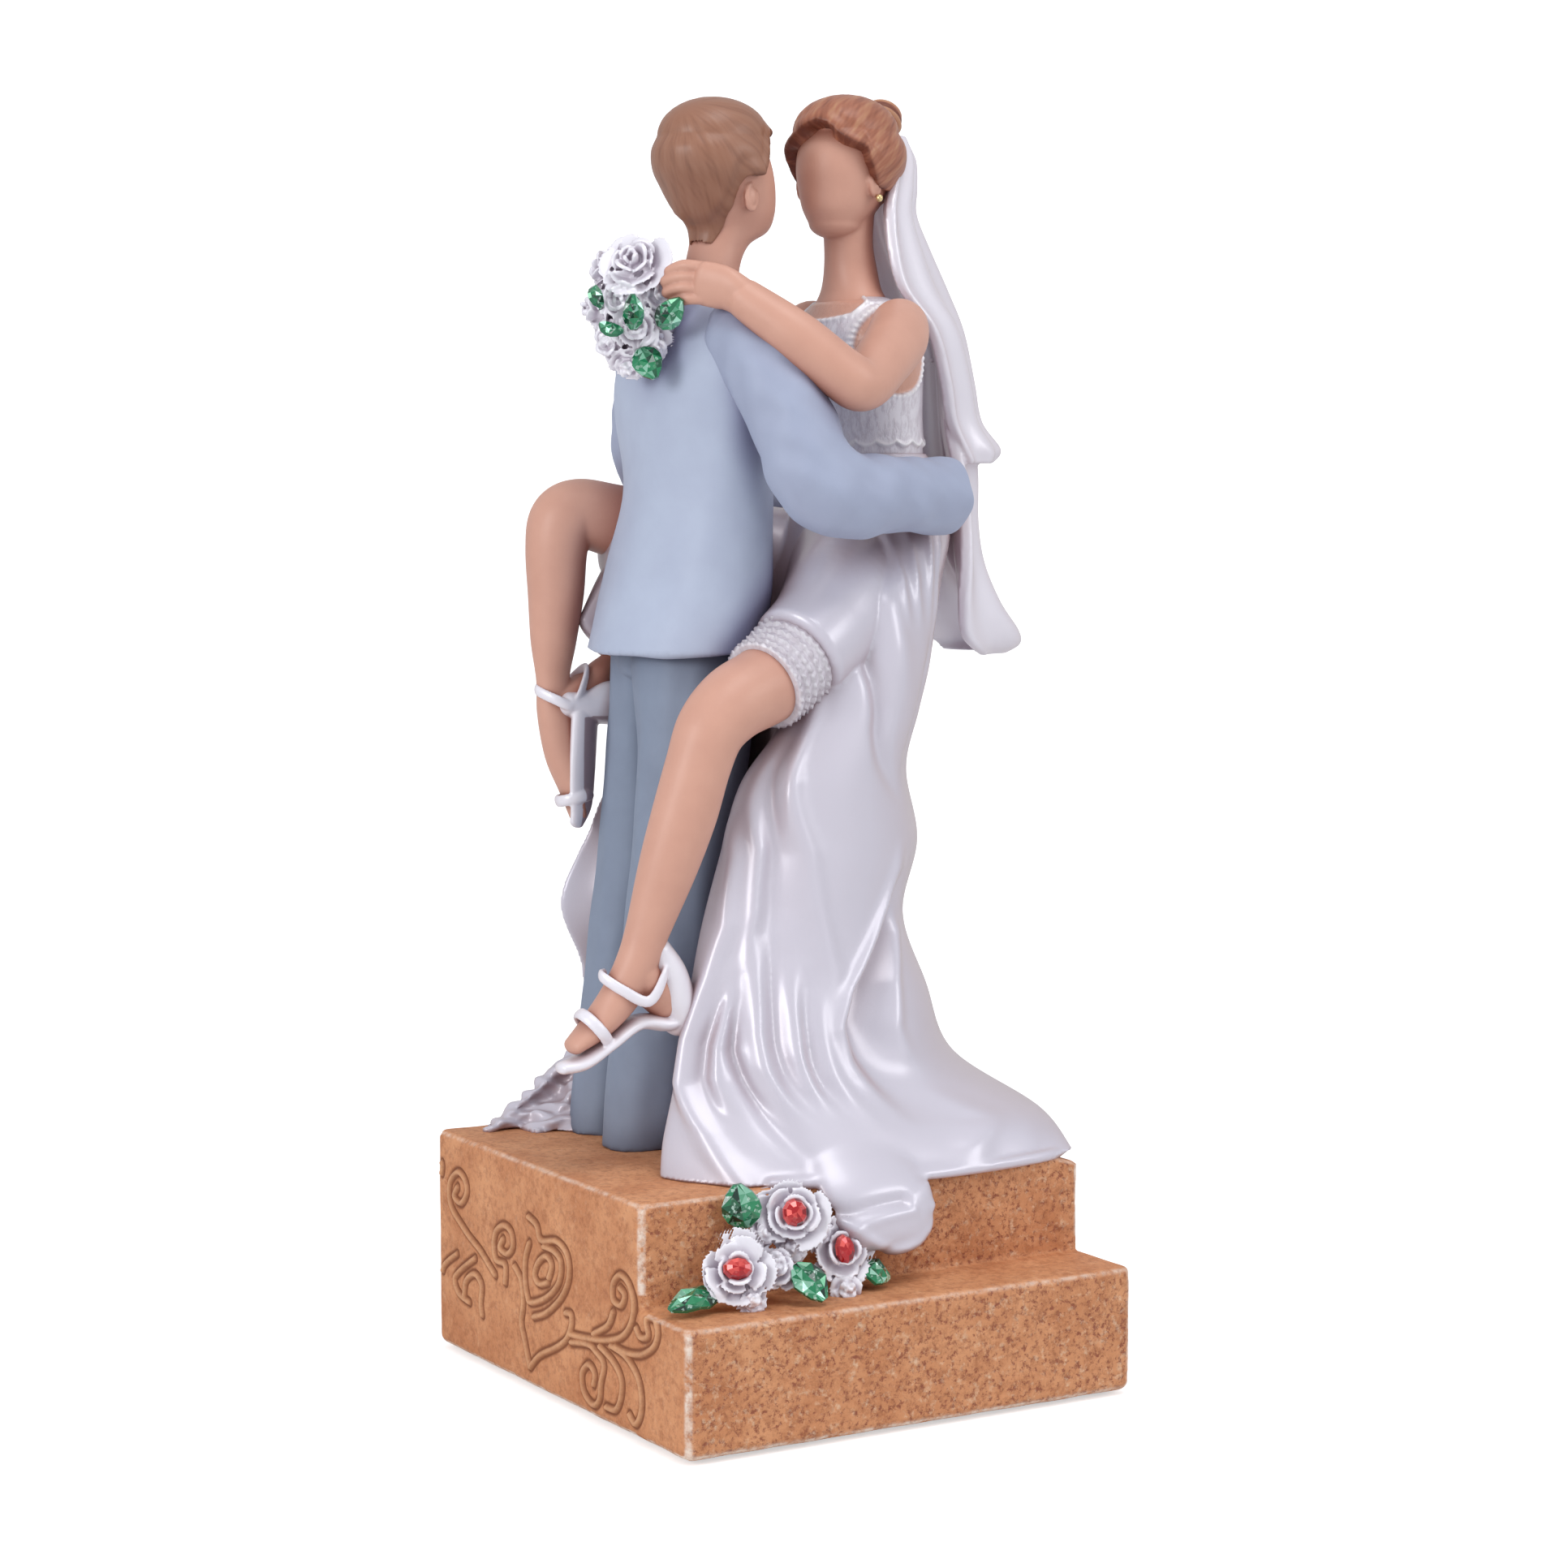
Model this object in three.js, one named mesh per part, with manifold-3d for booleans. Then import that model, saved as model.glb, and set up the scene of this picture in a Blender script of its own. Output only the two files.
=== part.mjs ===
// Wedding cake topper: a couple embracing on a block of two steps, cast in resin.
// Millimetres, +Z up, -Y is the side the steps face. The origin is the middle of the underside.
import * as THREE from "three";
import { mergeVertices } from "three/addons/utils/BufferGeometryUtils.js";
import Module from "manifold-3d";

const wasm = await Module();
wasm.setup();

// Stepped base
const baseLength = 76;
const baseDepth = 79.6;
const lowerStepHeight = 18.7;
const upperStepRise = 15.1;
const treadDepth = 13.5;
const cornerRadius = 1.8;
const nosingRadius = 1.1;
const footRadius = 1.6;
const wornEdgeRadius = 4;
const blockOverlap = 6;
const feltThickness = 0.6;
const feltInset = 2;
const feltCornerRadius = 2;

// Couple
const coupleHeight = 157;
const coupleSetback = 14;
const clearance = 0.3;
const facetTolerance = 0.12;
const groomHairDepth = 1.5;
const hairCutWidth = 30;
const earHeight = 4.6;
const earDepth = 3;
const earThickness = 1.5;
const fingerRadius = 0.95;
const bunRadius = 3.3;
const beadBandRadius = 2.7;
const beadBandThickness = 0.65;
const earringRadius = 0.75;
const garterThickness = 1.1;
const garterRuffle = 0.5;
const strapThickness = 0.7;
const strapHalfWidth = 0.75;
const foldDepth = 3.2;
const veilFoldDepth = 0.5;
const hemRollRadius = 0.9;

// Flowers
const stepRoseRadius = 4.1;
const gemHeight = 1;
const leafThickness = 0.9;
const leafFold = 0.7;

const standLevel = feltThickness + lowerStepHeight + upperStepRise;
const treadLevel = feltThickness + lowerStepHeight;
const riserPlace = treadDepth - baseDepth / 2;
const fullTurn = Math.PI * 2;
const quarterTurn = Math.PI / 2;
const up = new THREE.Vector3(0, 0, 1);
const acrossX = new THREE.Vector3(1, 0, 0);
const acrossY = new THREE.Vector3(0, 1, 0);

// Body tables: each row is x, y, z, half-width across, half-width through, as shares of the
// couple's height, measured from the point on the top step midway between the two.
const nearLegShares = [
  [-0.045, 0.0, 0.51, 0.056, 0.062],
  [-0.048, -0.01, 0.45, 0.058, 0.058],
  [-0.05, -0.019, 0.39, 0.056, 0.053],
  [-0.057, -0.019, 0.323, 0.053, 0.049],
  [-0.074, -0.022, 0.222, 0.049, 0.045],
  [-0.094, -0.019, 0.104, 0.044, 0.04],
  [-0.104, -0.013, 0, 0.043, 0.035],
];
const farLegShares = [
  [-0.035, 0.06, 0.51, 0.054, 0.058],
  [-0.034, 0.066, 0.435, 0.055, 0.056],
  [-0.037, 0.08, 0.354, 0.052, 0.05],
  [-0.054, 0.083, 0.225, 0.048, 0.045],
  [-0.083, 0.08, 0.06, 0.043, 0.038],
  [-0.094, 0.076, 0, 0.042, 0.035],
];
const seatShares = [
  [-0.044, 0.03, 0.515, 0.06, 0.098],
  [-0.044, 0.03, 0.46, 0.05, 0.085],
];
const jacketShares = [
  [-0.05, 0.025, 0.476, 0.077, 0.108],
  [-0.039, 0.023, 0.52, 0.077, 0.108],
  [-0.031, 0.021, 0.56, 0.073, 0.107],
  [-0.029, 0.013, 0.635, 0.064, 0.098],
  [-0.033, 0.006, 0.714, 0.067, 0.105],
  [-0.025, 0.006, 0.76, 0.064, 0.128],
  [-0.021, 0.006, 0.79, 0.054, 0.12],
  [-0.016, 0.003, 0.813, 0.044, 0.076],
  [-0.014, 0.003, 0.833, 0.034, 0.036],
];
const rightSleeveShares = [
  [-0.03, -0.085, 0.775, 0.042, 0.04],
  [-0.024, -0.118, 0.742, 0.041, 0.041],
  [-0.012, -0.142, 0.695, 0.04, 0.04],
  [0.002, -0.158, 0.655, 0.038, 0.039],
  [0.034, -0.163, 0.634, 0.036, 0.038],
  [0.082, -0.153, 0.63, 0.036, 0.037],
  [0.13, -0.136, 0.628, 0.035, 0.036],
  [0.17, -0.12, 0.626, 0.034, 0.035],
];
const leftSleeveShares = [
  [-0.02, 0.095, 0.775, 0.042, 0.04],
  [-0.012, 0.125, 0.73, 0.041, 0.041],
  [0.0, 0.15, 0.66, 0.04, 0.039],
  [0.035, 0.152, 0.618, 0.037, 0.037],
  [0.085, 0.138, 0.6, 0.035, 0.035],
  [0.13, 0.12, 0.596, 0.032, 0.033],
];
const groomRightHandShares = [
  [0.176, -0.116, 0.626, 0.017, 0.021],
  [0.203, -0.1, 0.624, 0.014, 0.023],
  [0.222, -0.076, 0.622, 0.011, 0.024],
  [0.231, -0.045, 0.62, 0.009, 0.022],
  [0.233, -0.018, 0.619, 0.008, 0.018],
];
const groomLeftHandShares = [
  [0.125, 0.123, 0.596, 0.017, 0.021],
  [0.155, 0.125, 0.593, 0.013, 0.023],
  [0.185, 0.118, 0.59, 0.011, 0.024],
  [0.21, 0.104, 0.588, 0.009, 0.022],
  [0.228, 0.086, 0.586, 0.008, 0.018],
];

// Heads: forward, sideways, height from the neck line, half-depth, half-width, as shares of the
// couple's height, and the place and heading of each head.
const groomHeadShares = [
  [-0.004, 0, 0.815, 0.027, 0.026],
  [-0.004, 0, 0.845, 0.027, 0.026],
  [0.006, 0, 0.868, 0.03, 0.028],
  [0.021, 0, 0.882, 0.042, 0.034],
  [0.02, 0, 0.898, 0.05, 0.041],
  [0.014, 0, 0.918, 0.055, 0.046],
  [0.005, 0, 0.938, 0.059, 0.049],
  [0.0, 0, 0.956, 0.057, 0.047],
  [-0.001, 0, 0.97, 0.049, 0.042],
];
const groomHeadPlaceShare = [-0.015, 0];
const groomHeading = Math.atan2(0.34, 0.94);
const groomHairlineShares = [
  [0.12, 0.972],
  [0.045, 0.972],
  [0.029, 0.967],
  [0.019, 0.957],
  [0.009, 0.932],
  [-0.009, 0.929],
  [-0.013, 0.918],
  [-0.012, 0.9],
  [-0.015, 0.883],
  [-0.022, 0.871],
  [-0.03, 0.866],
  [-0.08, 0.862],
  [-0.08, 0.8],
  [0.12, 0.8],
];
const groomForelockShares = [
  [0.004, 0.0, 0.989, 0.03, 0.013],
  [0.034, -0.006, 0.987, 0.026, 0.012],
  [0.058, -0.012, 0.978, 0.014, 0.007],
];
const brideNeckShares = [
  [0.145, 0.006, 0.79, 0.038, 0.064],
  [0.145, 0.006, 0.81, 0.034, 0.052],
  [0.144, 0.006, 0.828, 0.028, 0.036],
  [0.143, 0.006, 0.85, 0.026, 0.027],
  [0.14, 0.005, 0.875, 0.024, 0.025],
  [0.14, 0.006, 0.905, 0.026, 0.027],
];
const brideHeadShares = [
  [0.014, 0, 0.893, 0.03, 0.026],
  [0.008, 0, 0.907, 0.043, 0.034],
  [0.002, 0, 0.926, 0.051, 0.041],
  [-0.001, 0, 0.946, 0.055, 0.045],
  [-0.003, 0, 0.966, 0.053, 0.044],
  [-0.004, 0, 0.982, 0.042, 0.036],
];
const brideHeadPlaceShare = [0.136, 0.006];
const brideHeading = Math.atan2(-0.4, -0.91);
const brideHairlineShares = [
  [0.12, 0.99],
  [0.046, 0.988],
  [0.044, 0.98],
  [0.038, 0.967],
  [0.034, 0.962],
  [0.028, 0.961],
  [0.024, 0.942],
  [0.012, 0.926],
  [-0.006, 0.922],
  [-0.022, 0.921],
  [-0.035, 0.917],
  [-0.056, 0.908],
  [-0.08, 0.905],
  [-0.08, 0.86],
  [0.12, 0.86],
];
const brideHairShares = [
  [0.006, 0, 0.907, 0.043, 0.037],
  [0.002, 0.001, 0.926, 0.052, 0.045],
  [-0.001, 0.002, 0.946, 0.061, 0.054],
  [-0.002, 0, 0.966, 0.064, 0.057],
  [-0.002, 0, 0.982, 0.057, 0.049],
];
const bunShare = [-0.064, 0.0, 0.998];
const bandShare = [-0.05, 0.0, 0.991];
const groomEarShare = [0.0, 0.912];
const brideEarShare = [0.01, 0.931];
const groomEarSideShare = 0.044;
const brideEarSideShare = 0.041;
const earringSideShare = 0.048;
const earringDropShare = -0.015;
const capRowCount = 7;

// Bride's body
const bodiceShares = [
  [0.157, 0, 0.657, 0.051, 0.072],
  [0.156, 0, 0.672, 0.051, 0.072],
  [0.154, 0, 0.7, 0.05, 0.072],
  [0.15, 0, 0.74, 0.053, 0.077],
  [0.149, 0.002, 0.772, 0.052, 0.08],
  [0.147, 0.004, 0.797, 0.044, 0.074],
  [0.146, 0.005, 0.811, 0.038, 0.058],
];
const brideLeftArmShares = [
  [0.149, -0.074, 0.788, 0.03, 0.029],
  [0.13, -0.098, 0.776, 0.03, 0.03],
  [0.092, -0.133, 0.755, 0.028, 0.028],
  [0.05, -0.165, 0.733, 0.026, 0.026],
  [0.024, -0.169, 0.742, 0.025, 0.025],
  [-0.014, -0.152, 0.775, 0.024, 0.023],
  [-0.05, -0.12, 0.81, 0.019, 0.019],
];
const brideLeftPalmShares = [
  [-0.046, -0.122, 0.807, 0.018, 0.017],
  [-0.064, -0.109, 0.82, 0.013, 0.021],
  [-0.081, -0.093, 0.826, 0.01, 0.021],
];
const brideLeftFingerShares = [
  [[-0.08, -0.093, 0.84], [-0.094, -0.08, 0.842], [-0.101, -0.066, 0.837]],
  [[-0.08, -0.093, 0.831], [-0.096, -0.079, 0.832], [-0.104, -0.064, 0.828]],
  [[-0.08, -0.093, 0.821], [-0.096, -0.08, 0.822], [-0.103, -0.065, 0.818]],
  [[-0.08, -0.093, 0.812], [-0.092, -0.082, 0.812], [-0.098, -0.07, 0.809]],
];
const brideRightArmShares = [
  [0.148, 0.085, 0.79, 0.032, 0.03],
  [0.12, 0.118, 0.772, 0.03, 0.03],
  [0.08, 0.15, 0.756, 0.027, 0.027],
  [0.04, 0.16, 0.762, 0.025, 0.025],
  [-0.01, 0.145, 0.8, 0.023, 0.023],
  [-0.05, 0.11, 0.832, 0.019, 0.019],
];
const brideRightPalmShares = [
  [-0.046, 0.114, 0.829, 0.018, 0.017],
  [-0.066, 0.092, 0.838, 0.013, 0.022],
  [-0.082, 0.066, 0.838, 0.01, 0.022],
];
const brideRightFingerShares = [
  [[-0.08, 0.07, 0.852], [-0.094, 0.046, 0.856], [-0.097, 0.022, 0.852]],
  [[-0.08, 0.07, 0.841], [-0.096, 0.046, 0.842], [-0.099, 0.02, 0.838]],
  [[-0.08, 0.07, 0.83], [-0.096, 0.046, 0.828], [-0.098, 0.022, 0.824]],
];
const leftLegShares = [
  [0.06, -0.082, 0.505, 0.044, 0.044],
  [0.02, -0.104, 0.48, 0.041, 0.041],
  [-0.03, -0.124, 0.452, 0.038, 0.038],
  [-0.072, -0.135, 0.436, 0.036, 0.036],
  [-0.1, -0.14, 0.413, 0.033, 0.033],
  [-0.114, -0.14, 0.38, 0.03, 0.031],
  [-0.127, -0.137, 0.335, 0.029, 0.031],
  [-0.143, -0.133, 0.285, 0.026, 0.028],
  [-0.162, -0.127, 0.225, 0.02, 0.021],
  [-0.172, -0.125, 0.196, 0.019, 0.02],
  [-0.186, -0.121, 0.168, 0.018, 0.019],
  [-0.208, -0.117, 0.142, 0.02, 0.014],
  [-0.232, -0.115, 0.123, 0.015, 0.008],
];
const leftHeelShares = [
  [-0.168, -0.126, 0.188, 0.017, 0.017],
  [-0.152, -0.123, 0.168, 0.018, 0.018],
  [-0.143, -0.122, 0.156, 0.016, 0.015],
];
const rightLegShares = [
  [0.04, 0.1, 0.575, 0.043, 0.043],
  [-0.01, 0.118, 0.588, 0.04, 0.04],
  [-0.06, 0.13, 0.602, 0.036, 0.036],
  [-0.092, 0.137, 0.609, 0.034, 0.034],
  [-0.109, 0.14, 0.6, 0.034, 0.034],
  [-0.116, 0.14, 0.574, 0.031, 0.031],
  [-0.117, 0.14, 0.53, 0.028, 0.028],
  [-0.12, 0.14, 0.482, 0.022, 0.023],
  [-0.121, 0.14, 0.444, 0.015, 0.017],
  [-0.119, 0.14, 0.412, 0.017, 0.018],
  [-0.113, 0.137, 0.37, 0.018, 0.017],
  [-0.105, 0.131, 0.336, 0.018, 0.012],
  [-0.1, 0.128, 0.31, 0.013, 0.008],
];
const rightHeelShares = [
  [-0.116, 0.14, 0.424, 0.017, 0.017],
  [-0.095, 0.136, 0.43, 0.019, 0.018],
  [-0.076, 0.133, 0.428, 0.016, 0.016],
];
const leftSoleShares = [
  [-0.124, -0.121, 0.142, 0.015, 0.006],
  [-0.143, -0.121, 0.136, 0.018, 0.007],
  [-0.17, -0.12, 0.132, 0.016, 0.006],
  [-0.2, -0.117, 0.118, 0.02, 0.006],
  [-0.225, -0.115, 0.105, 0.018, 0.006],
  [-0.244, -0.115, 0.103, 0.011, 0.005],
];
const leftHeelCupShares = [
  [-0.126, -0.12, 0.138, 0.019, 0.014],
  [-0.13, -0.121, 0.158, 0.022, 0.019],
  [-0.138, -0.122, 0.184, 0.021, 0.018],
  [-0.15, -0.124, 0.206, 0.017, 0.014],
];
const leftStrapShares = [
  [-0.196, -0.106, 0.186],
  [-0.206, -0.121, 0.186],
  [-0.193, -0.138, 0.174],
  [-0.169, -0.144, 0.163],
  [-0.151, -0.141, 0.186],
  [-0.142, -0.127, 0.205],
  [-0.148, -0.11, 0.2],
];
const leftToeStrapPlace = 11.2;
const rightSoleShares = [
  [-0.048, 0.13, 0.4, 0.015, 0.006],
  [-0.066, 0.13, 0.398, 0.018, 0.006],
  [-0.083, 0.13, 0.388, 0.018, 0.006],
  [-0.09, 0.129, 0.36, 0.019, 0.006],
  [-0.092, 0.127, 0.33, 0.021, 0.006],
  [-0.098, 0.125, 0.296, 0.013, 0.005],
];
const rightHeelCupShares = [
  [-0.056, 0.13, 0.402, 0.019, 0.016],
  [-0.06, 0.132, 0.425, 0.022, 0.02],
  [-0.072, 0.134, 0.448, 0.019, 0.018],
  [-0.096, 0.138, 0.452, 0.014, 0.012],
];
const rightStrapShares = [
  [-0.128, 0.152, 0.436],
  [-0.138, 0.14, 0.434],
  [-0.128, 0.122, 0.426],
  [-0.11, 0.116, 0.42],
  [-0.092, 0.12, 0.446],
  [-0.084, 0.134, 0.462],
  [-0.09, 0.148, 0.455],
];
const rightToeStrapPlace = 11.3;
const strapWidthShare = 0.0048;
const strapDepthShare = 0.0042;
const garterPlaceShares = [1.1, 2.1];
const garterWaveShare = 0.5;
const axisStepShare = 0.1;
const steepestTilt = 0.9;

// Skirt: plan outlines, each a height and then x, y pairs going round, as shares.
const skirtShares = [
  [0, [-0.168, -0.165], [-0.118, -0.24], [-0.02, -0.262], [0.09, -0.266], [0.19, -0.258],
    [0.242, -0.238], [0.24, -0.05], [0.205, 0.09], [0.08, 0.152], [-0.19, 0.14], [-0.17, 0.106],
    [-0.08, 0.03], [-0.12, -0.12]],
  [0.03, [-0.157, -0.148], [-0.118, -0.216], [-0.03, -0.246], [0.08, -0.246], [0.2, -0.23],
    [0.256, -0.155], [0.246, -0.02], [0.2, 0.09], [0.08, 0.15], [-0.14, 0.15], [-0.125, 0.12],
    [-0.06, 0.03], [-0.1, -0.11]],
  [0.08, [-0.14, -0.138], [-0.11, -0.188], [-0.03, -0.214], [0.08, -0.2], [0.155, -0.158],
    [0.204, -0.085], [0.216, 0.01], [0.19, 0.09], [0.08, 0.148], [-0.084, 0.152],
    [-0.072, 0.126], [-0.04, 0.03], [-0.08, -0.1]],
  [0.15, [-0.118, -0.124], [-0.09, -0.168], [-0.01, -0.19], [0.085, -0.172], [0.145, -0.13],
    [0.184, -0.06], [0.2, 0.02], [0.18, 0.1], [0.08, 0.145], [-0.076, 0.152], [-0.062, 0.126],
    [-0.02, 0.03], [-0.06, -0.09]],
  [0.22, [-0.1, -0.118], [-0.07, -0.157], [0.01, -0.174], [0.09, -0.15], [0.135, -0.105],
    [0.165, -0.045], [0.18, 0.03], [0.165, 0.1], [0.08, 0.14], [-0.098, 0.152], [-0.08, 0.125],
    [0, 0.03], [-0.04, -0.085]],
  [0.29, [-0.077, -0.115], [-0.045, -0.152], [0.03, -0.166], [0.105, -0.143], [0.155, -0.098],
    [0.187, -0.04], [0.19, 0.03], [0.165, 0.1], [0.08, 0.135], [-0.07, 0.148], [-0.055, 0.124],
    [0.01, 0.03], [-0.02, -0.08]],
  [0.36, [-0.052, -0.114], [-0.02, -0.151], [0.045, -0.161], [0.106, -0.138], [0.146, -0.093],
    [0.18, -0.032], [0.192, 0.04], [0.17, 0.1], [0.09, 0.13], [-0.04, 0.142], [-0.03, 0.118],
    [0.02, 0.03], [0, -0.075]],
  [0.42, [0.0, -0.118], [0.035, -0.15], [0.085, -0.154], [0.13, -0.134], [0.163, -0.09],
    [0.195, -0.03], [0.205, 0.04], [0.185, 0.1], [0.11, 0.125], [0.0, 0.13], [0.01, 0.095],
    [0.03, 0.03], [0.02, -0.055]],
  [0.47, [0.02, -0.11], [0.055, -0.142], [0.1, -0.148], [0.145, -0.13], [0.177, -0.089],
    [0.209, -0.03], [0.22, 0.04], [0.2, 0.095], [0.13, 0.118], [0.04, 0.115], [0.03, 0.075],
    [0.03, 0.02], [0.02, -0.04]],
  [0.54, [0.045, -0.08], [0.08, -0.118], [0.118, -0.13], [0.158, -0.118], [0.192, -0.083],
    [0.223, -0.03], [0.232, 0.035], [0.21, 0.085], [0.15, 0.105], [0.08, 0.095], [0.06, 0.05],
    [0.055, 0.01], [0.05, -0.035]],
  [0.6, [0.093, -0.049], [0.117, -0.08], [0.148, -0.096], [0.18, -0.093], [0.211, -0.068],
    [0.236, -0.025], [0.238, 0.034], [0.207, 0.085], [0.158, 0.098], [0.112, 0.075],
    [0.093, 0.049], [0.083, 0.017], [0.083, -0.017]],
  [0.668, [0.11, -0.038], [0.126, -0.062], [0.147, -0.075], [0.17, -0.073], [0.194, -0.054],
    [0.208, -0.019], [0.207, 0.026], [0.183, 0.066], [0.151, 0.076], [0.122, 0.058],
    [0.11, 0.038], [0.104, 0.013], [0.104, -0.013]],
];
const foldSpans = 4;
const foldSteps = 4;
const plainSteps = 2;

// Folds: each runs down the fall through rows of height, place round the outline in points,
// half-width in points and depth as a share of the deepest fold. A groove has a minus depth.
const foldLineShares = [
  [[0.26, 3.2, 0.4, 0], [0.211, 3.0, 0.36, -0.8], [0.163, 2.66, 0.36, -1],
    [0.12, 2.6, 0.34, -0.85], [0.05, 3.0, 0.3, 0]],
  [[0.57, 0.4, 0.5, 0], [0.518, 0.6, 0.45, -0.35], [0.482, 1.15, 0.42, -0.5],
    [0.45, 1.6, 0.42, -0.5], [0.406, 2.1, 0.42, -0.4], [0.34, 3.0, 0.4, 0]],
  [[0.58, 1.4, 0.6, 0], [0.527, 1.7, 0.55, 0.4], [0.482, 2.1, 0.55, 0.35], [0.42, 2.7, 0.5, 0]],
  [[0.46, 0.2, 0.4, 0], [0.4, 0.6, 0.4, 0.4], [0.33, 1.25, 0.4, 0.45], [0.24, 1.8, 0.4, 0.4],
    [0.14, 2.1, 0.4, 0.2], [0.08, 2.2, 0.4, 0]],
  [[0.4, 0.3, 0.36, 0], [0.34, 0.7, 0.34, -0.4], [0.26, 1.1, 0.34, -0.5],
    [0.18, 1.15, 0.34, -0.5], [0.1, 1.15, 0.32, -0.55], [0.05, 1.5, 0.3, -0.4],
    [0.01, 1.9, 0.3, 0]],
  [[0.33, 0.1, 0.34, 0], [0.26, 0.5, 0.34, 0.4], [0.16, 0.4, 0.34, 0.5], [0.09, 0.3, 0.34, 0.5],
    [0.02, 0.7, 0.34, 0.3], [0, 0.8, 0.34, 0.2]],
];
const nearThighSleeveShares = [
  [0.13, -0.03, 0.535, 0.07, 0.085],
  [0.085, -0.075, 0.52, 0.06, 0.068],
  [0.045, -0.1, 0.497, 0.052, 0.055],
  [0.012, -0.112, 0.478, 0.05, 0.05],
];
const farThighSleeveShares = [
  [0.13, 0.04, 0.54, 0.06, 0.07],
  [0.05, 0.095, 0.565, 0.054, 0.056],
  [-0.02, 0.118, 0.582, 0.048, 0.048],
  [-0.058, 0.128, 0.59, 0.042, 0.044],
];
const farThighDropShares = [
  [-0.02, 0.122, 0.56, 0.03, 0.04],
  [-0.048, 0.126, 0.525, 0.02, 0.035],
  [-0.075, 0.126, 0.49, 0.012, 0.028],
];
const trainShares = [
  [0.01, -0.2, 0.052, 0.07, 0.014],
  [0.012, -0.236, 0.028, 0.078, 0.016],
  [0.012, -0.262, 0.006, 0.071, 0.015],
  [0.014, -0.276, -0.018, 0.062, 0.014],
  [0.022, -0.281, -0.036, 0.052, 0.013],
  [0.031, -0.284, -0.048, 0.036, 0.011],
];
const hemRollShares = [
  [-0.1, -0.248, 0.002, 1, 1],
  [-0.02, -0.262, 0.0, 1, 1],
  [0.09, -0.265, -0.002, 1, 1],
  [0.19, -0.258, -0.001, 1, 1],
  [0.232, -0.238, 0.002, 1, 1],
];

// Veil: height, then the near edge, the middle and the far edge in plan, then the thickness.
const veilTopShares = [
  [0.982, [0.19, -0.004], [0.206, 0.022], [0.198, 0.046], 0.01],
  [0.96, [0.186, -0.012], [0.216, 0.022], [0.2, 0.058], 0.016],
  [0.932, [0.172, -0.026], [0.215, 0.02], [0.194, 0.072], 0.018],
  [0.905, [0.16, -0.038], [0.212, 0.018], [0.19, 0.08], 0.02],
  [0.87, [0.158, -0.044], [0.226, 0.016], [0.2, 0.09], 0.022],
  [0.83, [0.166, -0.05], [0.246, 0.014], [0.216, 0.1], 0.022],
  [0.79, [0.196, -0.056], [0.264, 0.012], [0.232, 0.108], 0.022],
  [0.74, [0.214, -0.054], [0.277, 0.012], [0.24, 0.112], 0.022],
  [0.7, [0.224, -0.05], [0.285, 0.01], [0.246, 0.116], 0.022],
  [0.672, [0.238, -0.05], [0.304, 0.004], [0.256, 0.122], 0.022],
  [0.658, [0.248, -0.05], [0.296, 0.002], [0.26, 0.12], 0.016],
];
const veilEdgeShare = 0.3;
const veilFallShares = [
  [0.76, [0.222, -0.04], [0.264, 0.014], [0.232, 0.1], 0.02],
  [0.7, [0.226, -0.044], [0.268, 0.01], [0.238, 0.106], 0.024],
  [0.65, [0.234, -0.05], [0.27, 0.006], [0.244, 0.112], 0.024],
  [0.6, [0.241, -0.052], [0.266, 0.002], [0.25, 0.112], 0.024],
  [0.56, [0.239, -0.056], [0.274, 0], [0.256, 0.112], 0.024],
  [0.52, [0.234, -0.058], [0.297, -0.006], [0.272, 0.11], 0.024],
  [0.49, [0.236, -0.058], [0.326, -0.006], [0.292, 0.106], 0.022],
  [0.475, [0.25, -0.054], [0.334, 0.0], [0.304, 0.096], 0.018],
  [0.466, [0.27, -0.042], [0.318, 0.004], [0.302, 0.076], 0.012],
];

// Flowers: place, radius and facing of each rose as shares.
const bouquetCoreShares = [
  [-0.09, 0.0, 0.845, 0.022, 0.03],
  [-0.098, -0.008, 0.82, 0.034, 0.036],
  [-0.102, -0.012, 0.785, 0.03, 0.034],
  [-0.104, -0.014, 0.755, 0.014, 0.016],
];
const bouquetRoseShares = [
  [-0.112, -0.032, 0.844, 0.026, -0.6, -0.6, 0.5],
  [-0.118, 0.008, 0.842, 0.024, -0.8, 0.3, 0.4],
  [-0.126, -0.032, 0.812, 0.021, -0.7, -0.6, 0],
  [-0.095, -0.045, 0.818, 0.019, 0.1, -1, 0.1],
  [-0.132, 0.0, 0.804, 0.022, -1, 0.2, 0],
  [-0.116, -0.042, 0.786, 0.019, -0.5, -0.8, -0.1],
  [-0.128, -0.016, 0.774, 0.019, -0.9, -0.3, -0.2],
  [-0.1, -0.042, 0.768, 0.018, -0.1, -0.9, -0.3],
  [-0.115, -0.026, 0.752, 0.017, -0.5, -0.5, -0.6],
];
const bouquetLeafShares = [
  [[-0.134, -0.03, 0.805], [-0.156, -0.05, 0.806], 0.014, [-0.5, -0.8, 0.2]],
  [[-0.11, -0.056, 0.802], [-0.116, -0.072, 0.806], 0.013, [-0.4, -0.9, 0.3]],
  [[-0.086, -0.056, 0.806], [-0.068, -0.076, 0.808], 0.016, [-0.2, -0.9, 0.3]],
  [[-0.13, -0.04, 0.786], [-0.144, -0.056, 0.778], 0.012, [-0.5, -0.8, 0.1]],
  [[-0.106, -0.046, 0.766], [-0.1, -0.064, 0.738], 0.015, [-0.4, -0.9, -0.1]],
];
const stepRosePlaceShares = [
  [-0.336, 0.42, 0.28, -0.35, -0.8, 0.45, 1.12, 0.86],
  [-0.203, 0.3, 0.74, -0.3, -0.9, 0.3, 0.96, 1.04],
  [-0.1, 0.3, 0.37, -0.1, -0.9, 0.3, 0.76, 1.15],
];
const gemRadiusShare = 0.48;
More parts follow.
